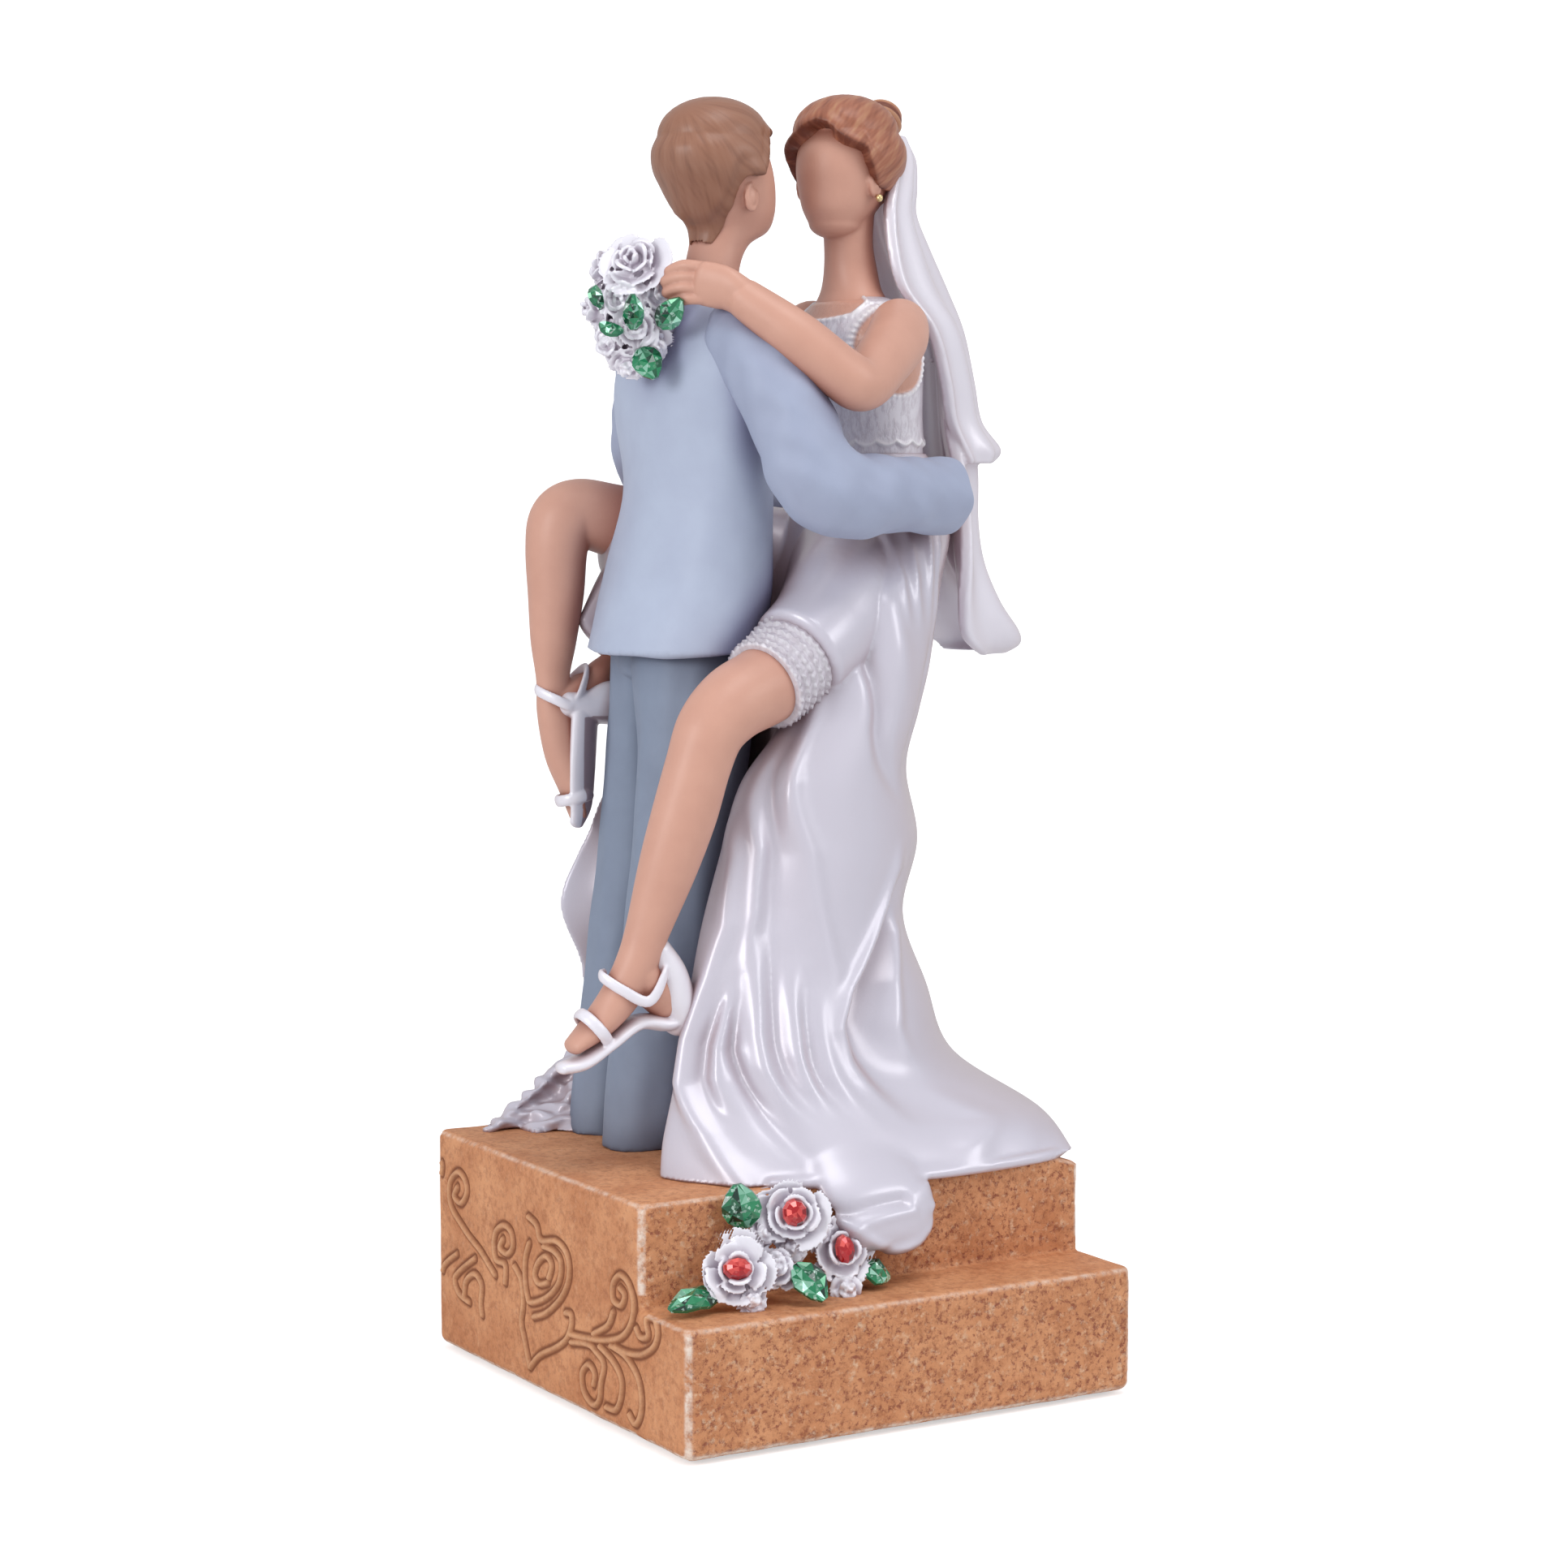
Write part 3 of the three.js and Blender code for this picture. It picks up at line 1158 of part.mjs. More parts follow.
add("stepped_base", stone, steppedBase);
add("felt_pad", felt, feltPad);
add("groom_trousers", trouserPaint, trousers);
add("groom_jacket", jacketPaint, jacket);
add("groom_right_sleeve", jacketPaint, (grow) => limb(rightSleeveShares,
  { sides: 16, perSpan: 1, hint: acrossY, endDome: 0.3, domeSteps: 2 }, grow));
add("groom_left_sleeve", jacketPaint, (grow) => limb(leftSleeveShares,
  { sides: 14, perSpan: 1, hint: acrossY, endDome: 0.3, domeSteps: 2 }, grow));
add("groom_head", skinPaint, groomHead);
add("groom_hair", brownHair, groomHair);
add("groom_right_hand", skinPaint, (grow) => limb(groomRightHandShares,
  { sides: 10, perSpan: 1, hint: acrossY, domeSteps: 2 }, grow));
add("groom_left_hand", skinPaint, (grow) => limb(groomLeftHandShares,
  { sides: 10, perSpan: 1, hint: acrossY, domeSteps: 2 }, grow));
add("bride_left_arm", skinPaint, (grow) => brideArm(
  brideLeftArmShares, brideLeftPalmShares, brideLeftFingerShares, grow));
add("bride_right_arm", skinPaint, (grow) => brideArm(
  brideRightArmShares, brideRightPalmShares, brideRightFingerShares, grow));
add("bride_head", skinPaint, brideHead);
add("bride_hair", auburnHair, brideHair);
add("bride_bun", auburnHair, bun);
add("bun_bead_band", pearl, beadBand);
add("bride_left_earring", gold, (grow) => earring(1, grow));
add("bride_right_earring", gold, (grow) => earring(-1, grow));
add("bride_bodice", lace, (grow) => limb(bodiceShares,
  { level: true, sides: 18, perSpan: 1, startDome: 0, endDome: 0.3, domeSteps: 2 }, grow));
add("bride_left_leg", skinPaint, (grow) => brideLeg(leftLegShares, leftHeelShares, grow));
add("bride_right_leg", skinPaint, (grow) => brideLeg(rightLegShares, rightHeelShares, grow));
add("left_garter", lace, garter);
add("left_shoe", pearl, (grow) => shoe(leftSoleShares, leftHeelCupShares, leftLegShares,
  leftStrapShares, leftToeStrapPlace, grow));
add("right_shoe", pearl, (grow) => shoe(rightSoleShares, rightHeelCupShares, rightLegShares,
  rightStrapShares, rightToeStrapPlace, grow));
add("bride_skirt", pearl, skirt);
add("bride_veil", pearl, veil);
add("bouquet_roses", petalPaint, bouquetRoses);
bouquetLeafShares.forEach(([from, to, width, facing], i) => {
  add(`bouquet_leaf_${i + 1}`, leafGlitter, (grow) => leaf(
    spot(from), spot(to), width * coupleHeight, direction(facing), grow));
});
stepRosePlaceShares.forEach((row, i) => {
  add(`rose_gem_${i + 1}`, rubyRed, (grow) => gem(row, grow));
  add(`step_rose_${i + 1}`, petalPaint, (grow) => stepRose(row, grow));
});
stepLeafShares.forEach(([from, to, width, facing], i) => {
  add(`step_leaf_${i + 1}`, leafGlitter, (grow) => leaf(
    onSteps(from), onSteps(to), width * baseLength, direction(facing), grow));
});

const group = new THREE.Group();
group.name = "wedding_cake_topper";
placed.forEach((piece) => group.add(toMesh(piece)));

export default group;
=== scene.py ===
"""Looks of the cake topper: a groom and bride cast in resin on a carved block of two steps.

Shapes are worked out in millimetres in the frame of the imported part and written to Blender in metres.
"""

import math

import bmesh
import bpy
import numpy as np
from mathutils import Matrix, Vector


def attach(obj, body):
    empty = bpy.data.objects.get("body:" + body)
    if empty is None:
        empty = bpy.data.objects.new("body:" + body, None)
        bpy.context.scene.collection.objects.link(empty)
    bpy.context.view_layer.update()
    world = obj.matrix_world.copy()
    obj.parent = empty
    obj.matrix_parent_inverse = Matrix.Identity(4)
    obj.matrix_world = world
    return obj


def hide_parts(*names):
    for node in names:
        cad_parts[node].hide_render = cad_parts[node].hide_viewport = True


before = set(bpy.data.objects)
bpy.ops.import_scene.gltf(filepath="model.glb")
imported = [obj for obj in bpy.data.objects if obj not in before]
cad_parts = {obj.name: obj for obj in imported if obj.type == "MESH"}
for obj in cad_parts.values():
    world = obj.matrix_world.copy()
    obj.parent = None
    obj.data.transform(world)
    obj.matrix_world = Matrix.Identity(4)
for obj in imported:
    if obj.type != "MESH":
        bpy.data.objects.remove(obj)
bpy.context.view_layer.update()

MM = 0.001
BODY = "root"
BASE_LENGTH = 76.0
BASE_DEPTH = 79.6
FELT = 0.6
TREAD_LEVEL = 19.3
STAND_LEVEL = 34.4
RISER_PLACE = -26.3
TREAD_DEPTH = 13.5
STEP_RISE = 15.1
COUPLE_HEIGHT = 157.0
COUPLE_SETBACK = 14.0
UP = np.array([0.0, 0.0, 1.0])
ACROSS_X = np.array([1.0, 0.0, 0.0])
ACROSS_Y = np.array([0.0, 1.0, 0.0])
FAR_OFF = 99.0


def shares(*rows):
    """Rows written in thousandths, as the shares they stand for."""
    return np.array(rows) / 1000


# Body tables: x, y, z and the half-widths across and through, in thousandths of the couple's height.
NEAR_LEG = shares(
    (-45, 0, 510, 56, 62), (-48, -10, 450, 58, 58), (-50, -19, 390, 56, 53), (-57, -19, 323, 53, 49),
    (-74, -22, 222, 49, 45), (-94, -19, 104, 44, 40), (-104, -13, 0, 43, 35))
FAR_LEG = shares(
    (-35, 60, 510, 54, 58), (-34, 66, 435, 55, 56), (-37, 80, 354, 52, 50), (-54, 83, 225, 48, 45),
    (-83, 80, 60, 43, 38), (-94, 76, 0, 42, 35))
SEAT = shares((-44, 30, 515, 60, 98), (-44, 30, 460, 50, 85))
JACKET = shares(
    (-50, 25, 476, 77, 108), (-39, 23, 520, 77, 108), (-31, 21, 560, 73, 107), (-29, 13, 635, 64, 98),
    (-33, 6, 714, 67, 105), (-25, 6, 760, 64, 128), (-21, 6, 790, 54, 120), (-16, 3, 813, 44, 76),
    (-14, 3, 833, 34, 36))
RIGHT_SLEEVE = shares(
    (-30, -85, 775, 42, 40), (-24, -118, 742, 41, 41), (-12, -142, 695, 40, 40), (2, -158, 648, 41, 44),
    (34, -163, 629, 38, 42), (82, -153, 630, 36, 37), (130, -136, 628, 35, 36), (170, -120, 626, 36, 38))
LEFT_SLEEVE = shares(
    (-20, 95, 775, 42, 40), (-12, 125, 730, 41, 41), (0, 150, 660, 40, 39), (35, 152, 618, 37, 37),
    (85, 138, 600, 35, 35), (130, 120, 596, 32, 33))
GROOM_RIGHT_HAND = shares(
    (176, -116, 626, 14, 18), (200, -94, 624, 11, 18), (217, -70, 622, 11, 22), (231, -45, 620, 9, 22),
    (233, -18, 619, 8, 18))
GROOM_LEFT_HAND = shares(
    (125, 123, 596, 17, 21), (155, 125, 593, 13, 23), (185, 118, 590, 11, 24), (210, 104, 588, 9, 22),
    (228, 86, 586, 8, 18))
# Heads: forward, sideways, height, half-depth, half-width.
GROOM_HEAD = shares(
    (-4, 0, 815, 27, 26), (-4, 0, 845, 27, 26), (6, 0, 868, 30, 28), (21, 0, 882, 42, 34),
    (20, 0, 898, 50, 41), (14, 0, 918, 55, 46), (5, 0, 938, 59, 49), (0, 0, 956, 57, 47),
    (-1, 0, 970, 49, 42))
GROOM_HEAD_PLACE = (-0.015, 0.0)
GROOM_HEADING = math.atan2(0.34, 0.94)
# Hairlines: turn about the head in degrees, and height in thousandths.
GROOM_HALF_HAIRLINE = [
    (0, 974), (30, 972), (57, 968), (72, 957), (90, 930), (108, 928), (117, 918), (126, 900), (138, 883),
    (150, 871), (160, 865), (180, 864)]
GROOM_HAIRLINE = [(-turn, height) for turn, height in GROOM_HALF_HAIRLINE[:0:-1]] + GROOM_HALF_HAIRLINE
GROOM_FORELOCK = shares((4, 0, 989, 30, 13), (34, -6, 987, 26, 12), (58, -12, 978, 14, 7))
BRIDE_NECK = shares(
    (145, 6, 790, 38, 64), (145, 6, 810, 34, 52), (144, 6, 828, 28, 36), (143, 6, 850, 26, 27),
    (140, 5, 875, 24, 25), (140, 6, 905, 26, 27))
BRIDE_HEAD = shares(
    (14, 0, 893, 30, 26), (8, 0, 907, 43, 34), (2, 0, 926, 51, 41), (-1, 0, 946, 55, 45),
    (-3, 0, 966, 53, 44), (-4, 0, 982, 42, 36))
BRIDE_HAIR = shares(
    (6, 0, 907, 43, 37), (2, 1, 926, 52, 45), (-1, 2, 946, 61, 54), (-2, 0, 966, 64, 57),
    (-2, 0, 982, 57, 49))
BRIDE_HEAD_PLACE = (0.136, 0.006)
BRIDE_HEADING = math.atan2(-0.4, -0.91)
BRIDE_HAIRLINE = [
    (-180, 905), (-150, 910), (-135, 917), (-117, 921), (-99, 922), (-84, 923.5), (-79, 926), (-65, 942),
    (-57, 955), (-48, 963), (-30, 977), (-9, 985), (3, 989), (18, 985), (36, 972), (51, 964.5),
    (58, 961), (63, 946), (72, 933), (79, 926), (84, 923.5), (99, 922), (117, 921), (135, 917),
    (150, 910), (180, 905)]
HAIR_SINK = 3.2
# Bun, band and earring: forward, sideways, height. Ears: forward, height, sideways. Radii in millimetres.
BUN = (-0.064, 0.0, 0.998)
BAND = (-0.05, 0.0, 0.991)
BUN_RADIUS = 3.3
BAND_RADIUS = 2.75
BAND_BEADS = 17
BEAD_RADIUS = 0.55
GROOM_EAR = (0.0, 0.912, 0.044)
BRIDE_EAR = (0.01, 0.931, 0.041)
EARRING = (0.01, 0.048, 0.916)
BODICE = shares(
    (157, 0, 657, 51, 72), (156, 0, 672, 51, 72), (154, 0, 700, 50, 72), (150, 0, 740, 53, 77),
    (149, 2, 772, 52, 80), (147, 4, 797, 44, 74), (146, 5, 811, 38, 58))
# Where the dress is cut away: the armhole's middle and half-sizes, the throat's edge, the waist edge.
ARMHOLE = (0.147, 0.767, 0.037, 0.042)
NECKLINE = shares((100, 797), (115, 803), (130, 815), (145, 840))
WAIST_EDGE = 0.68
BRIDE_LEFT_ARM = shares(
    (149, -74, 788, 30, 29), (130, -98, 776, 30, 30), (92, -133, 755, 28, 28), (50, -165, 733, 26, 26),
    (24, -169, 742, 25, 25), (-14, -152, 775, 24, 23), (-50, -120, 810, 19, 19))
BRIDE_LEFT_PALM = shares((-46, -122, 807, 18, 17), (-64, -109, 820, 13, 21), (-81, -93, 826, 10, 21))
BRIDE_LEFT_FINGERS = shares(
    ((-80, -93, 840), (-94, -80, 842), (-101, -66, 837)),
    ((-80, -93, 831), (-96, -79, 832), (-104, -64, 828)),
    ((-80, -93, 821), (-96, -80, 822), (-103, -65, 818)),
    ((-80, -93, 812), (-92, -82, 812), (-98, -70, 809)))
BRIDE_RIGHT_ARM = shares(
    (148, 85, 790, 32, 30), (120, 118, 772, 30, 30), (80, 150, 756, 27, 27), (40, 160, 762, 25, 25),
    (-10, 145, 800, 23, 23), (-50, 110, 832, 19, 19))
BRIDE_RIGHT_PALM = shares((-46, 114, 829, 18, 17), (-66, 92, 838, 13, 22), (-82, 66, 838, 10, 22))
BRIDE_RIGHT_FINGERS = shares(
    ((-80, 70, 852), (-94, 46, 856), (-97, 22, 852)), ((-80, 70, 841), (-96, 46, 842), (-99, 20, 838)),
    ((-80, 70, 830), (-96, 46, 828), (-98, 22, 824)))
LEFT_LEG = shares(
    (60, -82, 505, 44, 44), (20, -104, 480, 41, 41), (-30, -124, 452, 38, 38), (-72, -135, 436, 36, 36),
    (-100, -140, 413, 33, 33), (-114, -140, 380, 30, 31), (-127, -137, 335, 29, 31),
    (-143, -133, 285, 26, 28), (-162, -127, 225, 20, 21), (-172, -125, 196, 19, 20),
    (-186, -121, 168, 18, 19), (-208, -117, 142, 20, 14), (-232, -115, 123, 15, 8))
LEFT_HEEL = shares((-168, -126, 188, 17, 17), (-152, -123, 168, 18, 18), (-143, -122, 156, 16, 15))
RIGHT_LEG = shares(
    (40, 100, 575, 43, 43), (-10, 118, 588, 40, 40), (-60, 130, 602, 36, 36), (-92, 137, 609, 34, 34),
    (-109, 140, 600, 34, 34), (-116, 140, 574, 31, 31), (-117, 140, 530, 28, 28),
    (-120, 140, 482, 22, 23), (-121, 140, 444, 15, 17), (-119, 140, 412, 17, 18),
    (-113, 137, 370, 18, 17), (-105, 131, 336, 18, 12), (-100, 128, 310, 13, 8))
RIGHT_HEEL = shares(
    (-116, 140, 424, 17, 17), (-84, 140, 436, 15, 15), (-68, 139, 450, 13, 14), (-58, 139, 461, 9, 10))
LEFT_SOLE = shares(
    (-124, -121, 138, 15, 7), (-143, -121, 138, 18, 8), (-170, -120, 140, 17, 7),
    (-200, -117, 123, 20, 7), (-225, -115, 107, 18, 7), (-244, -115, 103, 11, 6))
LEFT_HEEL_CUP = shares(
    (-126, -120, 138, 19, 14), (-130, -121, 158, 22, 19), (-138, -122, 184, 21, 18),
    (-150, -124, 206, 17, 14))
LEFT_STRAP = shares(
    (-196, -106, 186), (-206, -121, 186), (-193, -138, 174), (-169, -144, 163), (-151, -141, 186),
    (-142, -127, 205), (-148, -110, 200))
RIGHT_SOLE = shares(
    (-94, 123, 412, 18, 9), (-96, 123, 380, 18, 8), (-98, 122, 350, 17.5, 7), (-100, 121, 320, 15, 6),
    (-105, 121, 302, 9, 5))
RIGHT_HEEL_CUP = shares(
    (-110, 129, 420, 16, 13), (-90, 129, 417, 18, 17), (-66, 129, 420, 19, 22), (-49, 129, 418, 16, 20))
RIGHT_HEEL_STRAP = shares(
    (-49, 127, 406), (-48, 127, 428), (-51, 134, 452), (-58, 138, 468), (-64, 143, 473))
RIGHT_STRAP = shares(
    (-128, 152, 436), (-138, 140, 434), (-128, 122, 426), (-110, 116, 420), (-94, 124, 441),
    (-86, 136, 455), (-94, 149, 444))
# Skirt: height, then x, y of the plan outline going round.
SKIRT = shares(
    (0, -168, -165, -118, -240, -20, -262, 90, -266, 190, -258, 242, -238, 240, -50, 205, 90, 80, 152,
     -190, 140, -170, 106, -80, 30, -120, -120),
    (30, -157, -148, -118, -216, -30, -246, 80, -246, 200, -230, 256, -155, 246, -20, 200, 90, 80, 150,
     -140, 150, -125, 120, -60, 30, -100, -110),
    (80, -140, -138, -110, -188, -30, -214, 80, -200, 155, -158, 204, -85, 216, 10, 190, 90, 80, 148,
     -84, 152, -72, 126, -40, 30, -80, -100),
    (150, -118, -124, -90, -168, -10, -190, 85, -172, 145, -130, 184, -60, 200, 20, 180, 100, 80, 145,
     -76, 152, -62, 126, -20, 30, -60, -90),
    (220, -100, -118, -70, -157, 10, -174, 90, -150, 135, -105, 165, -45, 180, 30, 165, 100, 80, 140,
     -98, 152, -80, 125, 0, 30, -40, -85),
    (290, -77, -115, -45, -152, 30, -166, 105, -143, 155, -98, 187, -40, 190, 30, 165, 100, 80, 135, -70,
     148, -55, 124, 10, 30, -20, -80),
    (360, -52, -114, -20, -151, 45, -161, 106, -138, 146, -93, 180, -32, 192, 40, 170, 100, 90, 130, -40,
     142, -30, 118, 20, 30, 0, -75),
    (420, 0, -118, 35, -150, 85, -154, 130, -134, 163, -90, 195, -30, 205, 40, 185, 100, 110, 125, 0,
     130, 10, 95, 30, 30, 20, -55),
    (470, 20, -110, 55, -142, 100, -148, 145, -130, 177, -89, 209, -30, 220, 40, 200, 95, 130, 118, 40,
     115, 30, 75, 30, 20, 20, -40),
    (540, 45, -80, 80, -118, 118, -130, 158, -118, 192, -83, 223, -30, 232, 35, 210, 85, 150, 105, 80,
     95, 60, 50, 55, 10, 50, -35),
    (600, 93, -49, 117, -80, 148, -96, 180, -93, 211, -68, 236, -25, 238, 34, 207, 85, 158, 98, 112, 75,
     93, 49, 83, 17, 83, -17),
    (668, 110, -38, 126, -62, 147, -75, 170, -73, 194, -54, 208, -19, 207, 26, 183, 66, 151, 76, 122, 58,
     110, 38, 104, 13, 104, -13))
# Folds of the fall: how much wider the right side is, then rows of height in thousandths, place round the
# outline and half-width in hundredths of a point, and depth in tenths of a millimetre.
FOLD_UNITS = (1000, 100, 100, 10)
SKIRT_FOLDS = [
    (4, [(270, 310, 10, 0), (235, 302, 10, -16), (211, 286, 10, -28), (163, 250, 10, -36),
         (132, 242, 10, -34), (100, 252, 10, -24), (70, 272, 10, -14), (35, 300, 10, 0)]),
    (1, [(300, 310, 16, 0), (260, 300, 14, 8), (211, 270, 12, 10), (163, 236, 12, 10), (130, 228, 12, 8),
         (90, 242, 12, 5), (50, 280, 12, 0)]),
    (1, [(250, 310, 20, 0), (211, 330, 16, 8), (167, 302, 14, 12), (123, 294, 14, 10), (84, 310, 20, 0)]),
    (1, [(550, 30, 30, 0), (518, 56, 24, -9), (482, 115, 22, -14), (450, 156, 20, -15),
         (406, 200, 20, -14), (350, 290, 20, -5), (330, 320, 20, 0)]),
    (1, [(570, 110, 50, 0), (527, 155, 45, 13), (482, 195, 40, 11), (420, 240, 40, 0)]),
    (1, [(620, 90, 16, 3), (585, 140, 13, 6), (550, 190, 12, 6), (500, 230, 12, 0)]),
    (1, [(620, 150, 14, 3), (590, 190, 12, 6), (550, 235, 12, 6), (500, 270, 12, 0)]),
    (1, [(620, 220, 14, 3), (590, 260, 12, 6), (550, 290, 12, 6), (490, 310, 12, 0)]),
    (1, [(620, 280, 14, 3), (580, 310, 14, 6), (520, 330, 14, 6), (440, 340, 14, 0)]),
    (1, [(520, 340, 20, 0), (460, 320, 20, -6), (400, 330, 20, -6), (350, 350, 20, 0)]),
    (1, [(460, 20, 20, 6), (400, 62, 18, 9), (360, 100, 18, 12), (294, 150, 16, 11), (242, 175, 16, 9),
         (180, 212, 16, 5), (120, 220, 16, 0)]),
    (1, [(420, 30, 20, 0), (352, 72, 18, -11), (294, 110, 18, -13), (242, 130, 18, -12),
         (170, 142, 16, 0)]),
    (1, [(360, 30, 14, 0), (300, 80, 13, 6), (240, 100, 12, 8), (190, 106, 12, 6), (140, 110, 12, 0)]),
    (1, [(330, 5, 20, 0), (290, 40, 20, 9), (229, 62, 20, 13), (180, 50, 20, 15), (123, 26, 18, 15),
         (85, 26, 18, 14), (46, 66, 18, 13), (0, 95, 20, 9)]),
    (1, [(200, 100, 14, 0), (160, 78, 13, -9), (120, 60, 13, -13), (90, 60, 13, -12), (50, 90, 13, 0)]),
    (1, [(200, 90, 14, 0), (170, 86, 14, 10), (120, 80, 13, 13), (90, 84, 13, 10), (60, 100, 13, 0)]),
    (1, [(190, 98, 12, 0), (150, 98, 10, -9), (114, 102, 10, -15), (90, 118, 10, -17),
         (70, 134, 10, -16), (50, 148, 10, -14), (20, 170, 10, -6), (0, 180, 10, 0)]),
    (1, [(220, 116, 12, 0), (180, 120, 12, 9), (130, 130, 11, 13), (100, 142, 11, 13), (70, 164, 11, 9),
         (40, 190, 12, 0)]),
    (1, [(220, 136, 12, 0), (170, 144, 10, -8), (120, 156, 10, -10), (90, 170, 10, -9), (60, 190, 10, 0)]),
    (1, [(200, 156, 12, 0), (150, 166, 11, 8), (110, 178, 11, 10), (80, 194, 11, 8), (50, 216, 12, 0)]),
    (1, [(190, 176, 12, 0), (140, 186, 10, -6), (100, 198, 10, -9), (75, 212, 10, -7), (40, 240, 10, 0)]),
    (1, [(170, 190, 12, 0), (130, 200, 11, 6), (90, 216, 11, 9), (60, 234, 12, 6), (30, 260, 12, 0)]),
    (1, [(70, 320, 20, 0), (40, 360, 20, 9), (20, 330, 20, 12), (0, 320, 20, 6)]),
    (1, [(600, 540, 30, 0), (450, 550, 30, -12), (300, 560, 30, -16), (100, 570, 30, -16),
         (0, 580, 30, -8)]),
    (1, [(600, 620, 30, 0), (450, 630, 30, 12), (300, 640, 30, 15), (100, 650, 30, 15), (0, 660, 30, 8)]),
    (1, [(600, 700, 30, 0), (450, 700, 30, -12), (300, 710, 30, -16), (100, 720, 30, -16),
         (0, 730, 30, -8)]),
    (1, [(300, 820, 12, 0), (250, 830, 12, -15), (100, 840, 12, -18), (0, 850, 12, -10)]),
    (1, [(350, 860, 12, 0), (250, 870, 12, 10), (100, 875, 12, 14), (0, 880, 12, 10)]),
    (1, [(160, 970, 12, 0), (60, 960, 12, 11), (0, 950, 12, 15)]),
    (1, [(130, 1000, 10, 0), (60, 990, 10, -9), (0, 985, 10, -9)]),
    (1, [(200, 1020, 12, 0), (80, 1015, 12, 10), (0, 1012, 12, 15)]),
    (1, [(120, 1050, 12, 0), (50, 1042, 10, 8), (0, 1040, 10, 11)])]
NEAR_THIGH = shares(
    (130, -30, 535, 70, 85), (85, -75, 520, 60, 68), (45, -100, 497, 52, 55), (12, -112, 478, 50, 50))
FAR_THIGH = shares(
    (130, 40, 540, 60, 70), (50, 95, 565, 54, 56), (-20, 118, 582, 48, 48), (-58, 128, 590, 42, 44))
FAR_DROP = shares((-20, 122, 560, 30, 40), (-48, 126, 525, 20, 35), (-75, 126, 490, 12, 28))
TRAIN = shares(
    (0, -228, 32, 50, 12), (0, -247, 14, 56, 13), (0, -261, -1, 58, 14), (2, -271, -14, 56, 14),
    (6, -278, -26, 55, 14), (13, -282, -39, 49, 13), (18, -284, -50, 37, 11), (20, -285, -59, 22, 8))
# The train's curled lip, the ridge above it and the hollow above that: across and up.
TRAIN_LIP = shares(
    (-48, -30), (-30, -43), (-10, -56), (10, -62), (30, -59), (48, -50), (58, -38), (57, -28))
TRAIN_RIDGE = shares((-34, -38), (-4, -31), (28, -28))
TRAIN_HOLLOW = shares((-50, -24), (-27, -21), (-2, -18), (19, -17))
HEM_ROLL = shares(
    (-100, -248, 2), (-20, -262, 0), (90, -265, -2), (190, -258, -1), (226, -243, 0), (242, -222, 2),
    (244, -170, 2), (240, -80, 1))
HEM_ROLL_RADIUS = 0.9
# Veil: height, then x, y of the near edge, the middle and the far edge, then the thickness.
VEIL_TOP = shares(
    (982, 190, -4, 206, 22, 198, 46, 10), (960, 186, -12, 216, 22, 200, 58, 16),
    (932, 172, -26, 215, 20, 194, 72, 18), (905, 160, -38, 212, 18, 190, 80, 20),
    (870, 158, -44, 226, 16, 200, 90, 22), (830, 166, -50, 246, 14, 216, 100, 22),
    (790, 196, -56, 264, 12, 232, 108, 22), (740, 214, -54, 277, 12, 240, 112, 22),
    (700, 224, -50, 285, 10, 246, 116, 22), (672, 238, -50, 304, 4, 256, 122, 22),
    (658, 248, -50, 296, 2, 260, 120, 16))
VEIL_FALL = shares(
    (760, 222, -40, 264, 14, 232, 100, 20), (700, 226, -44, 268, 10, 238, 106, 24),
    (650, 234, -50, 270, 6, 244, 112, 24), (600, 241, -52, 266, 2, 250, 112, 24),
    (560, 239, -56, 274, 0, 256, 112, 24), (520, 234, -58, 297, -6, 272, 110, 24),
    (490, 236, -58, 326, -6, 292, 106, 22), (475, 250, -54, 334, 0, 304, 96, 18),
    (466, 270, -42, 318, 4, 302, 76, 12))
# Roses: place, radius, facing. Leaves: foot, tip, half-width, facing.
BOUQUET_CORE = shares(
    (-90, 0, 845, 22, 30), (-98, -8, 820, 34, 36), (-102, -12, 785, 30, 34), (-104, -14, 755, 14, 16))
BOUQUET_ROSES = shares(
    (-120, -32, 844, 26, -600, -600, 500), (-126, 8, 842, 24, -800, 300, 400),
    (-134, -32, 812, 21, -700, -600, 0), (-103, -45, 818, 19, 100, -1000, 100),
    (-140, 0, 804, 22, -1000, 200, 0), (-124, -42, 786, 19, -500, -800, -100),
    (-136, -16, 774, 19, -900, -300, -200), (-108, -42, 768, 18, -100, -900, -300),
    (-123, -26, 752, 17, -500, -500, -600))
BOUQUET_LEAVES = shares(
    (-156, -30, 810, -178, -50, 814, 12, -500, -800, 200),
    (-133, -52, 784, -142, -68, 815, 10.5, -400, -900, 100),
    (-107.5, -58, 786, -101, -86, 811, 13.5, -300, -900, 200),
    (-148, -40, 786, -162, -56, 778, 13, -500, -800, 100),
    (-122, -46, 766, -116, -64, 738, 15, -400, -900, -100))
# Places on the step: along the block, out from the riser, up it. Roses: place, facing, stone's sizes.
STEP_ROSES = shares(
    (-336, 420, 280, -350, -800, 450, 1120, 860), (-203, 300, 740, -300, -900, 300, 960, 1040),
    (-100, 300, 370, -100, -900, 300, 760, 1150))
STEP_ROSE_RADIUS = 4.1
STEP_ROSE_RAISE = (1.0, 0.9, 0.2)
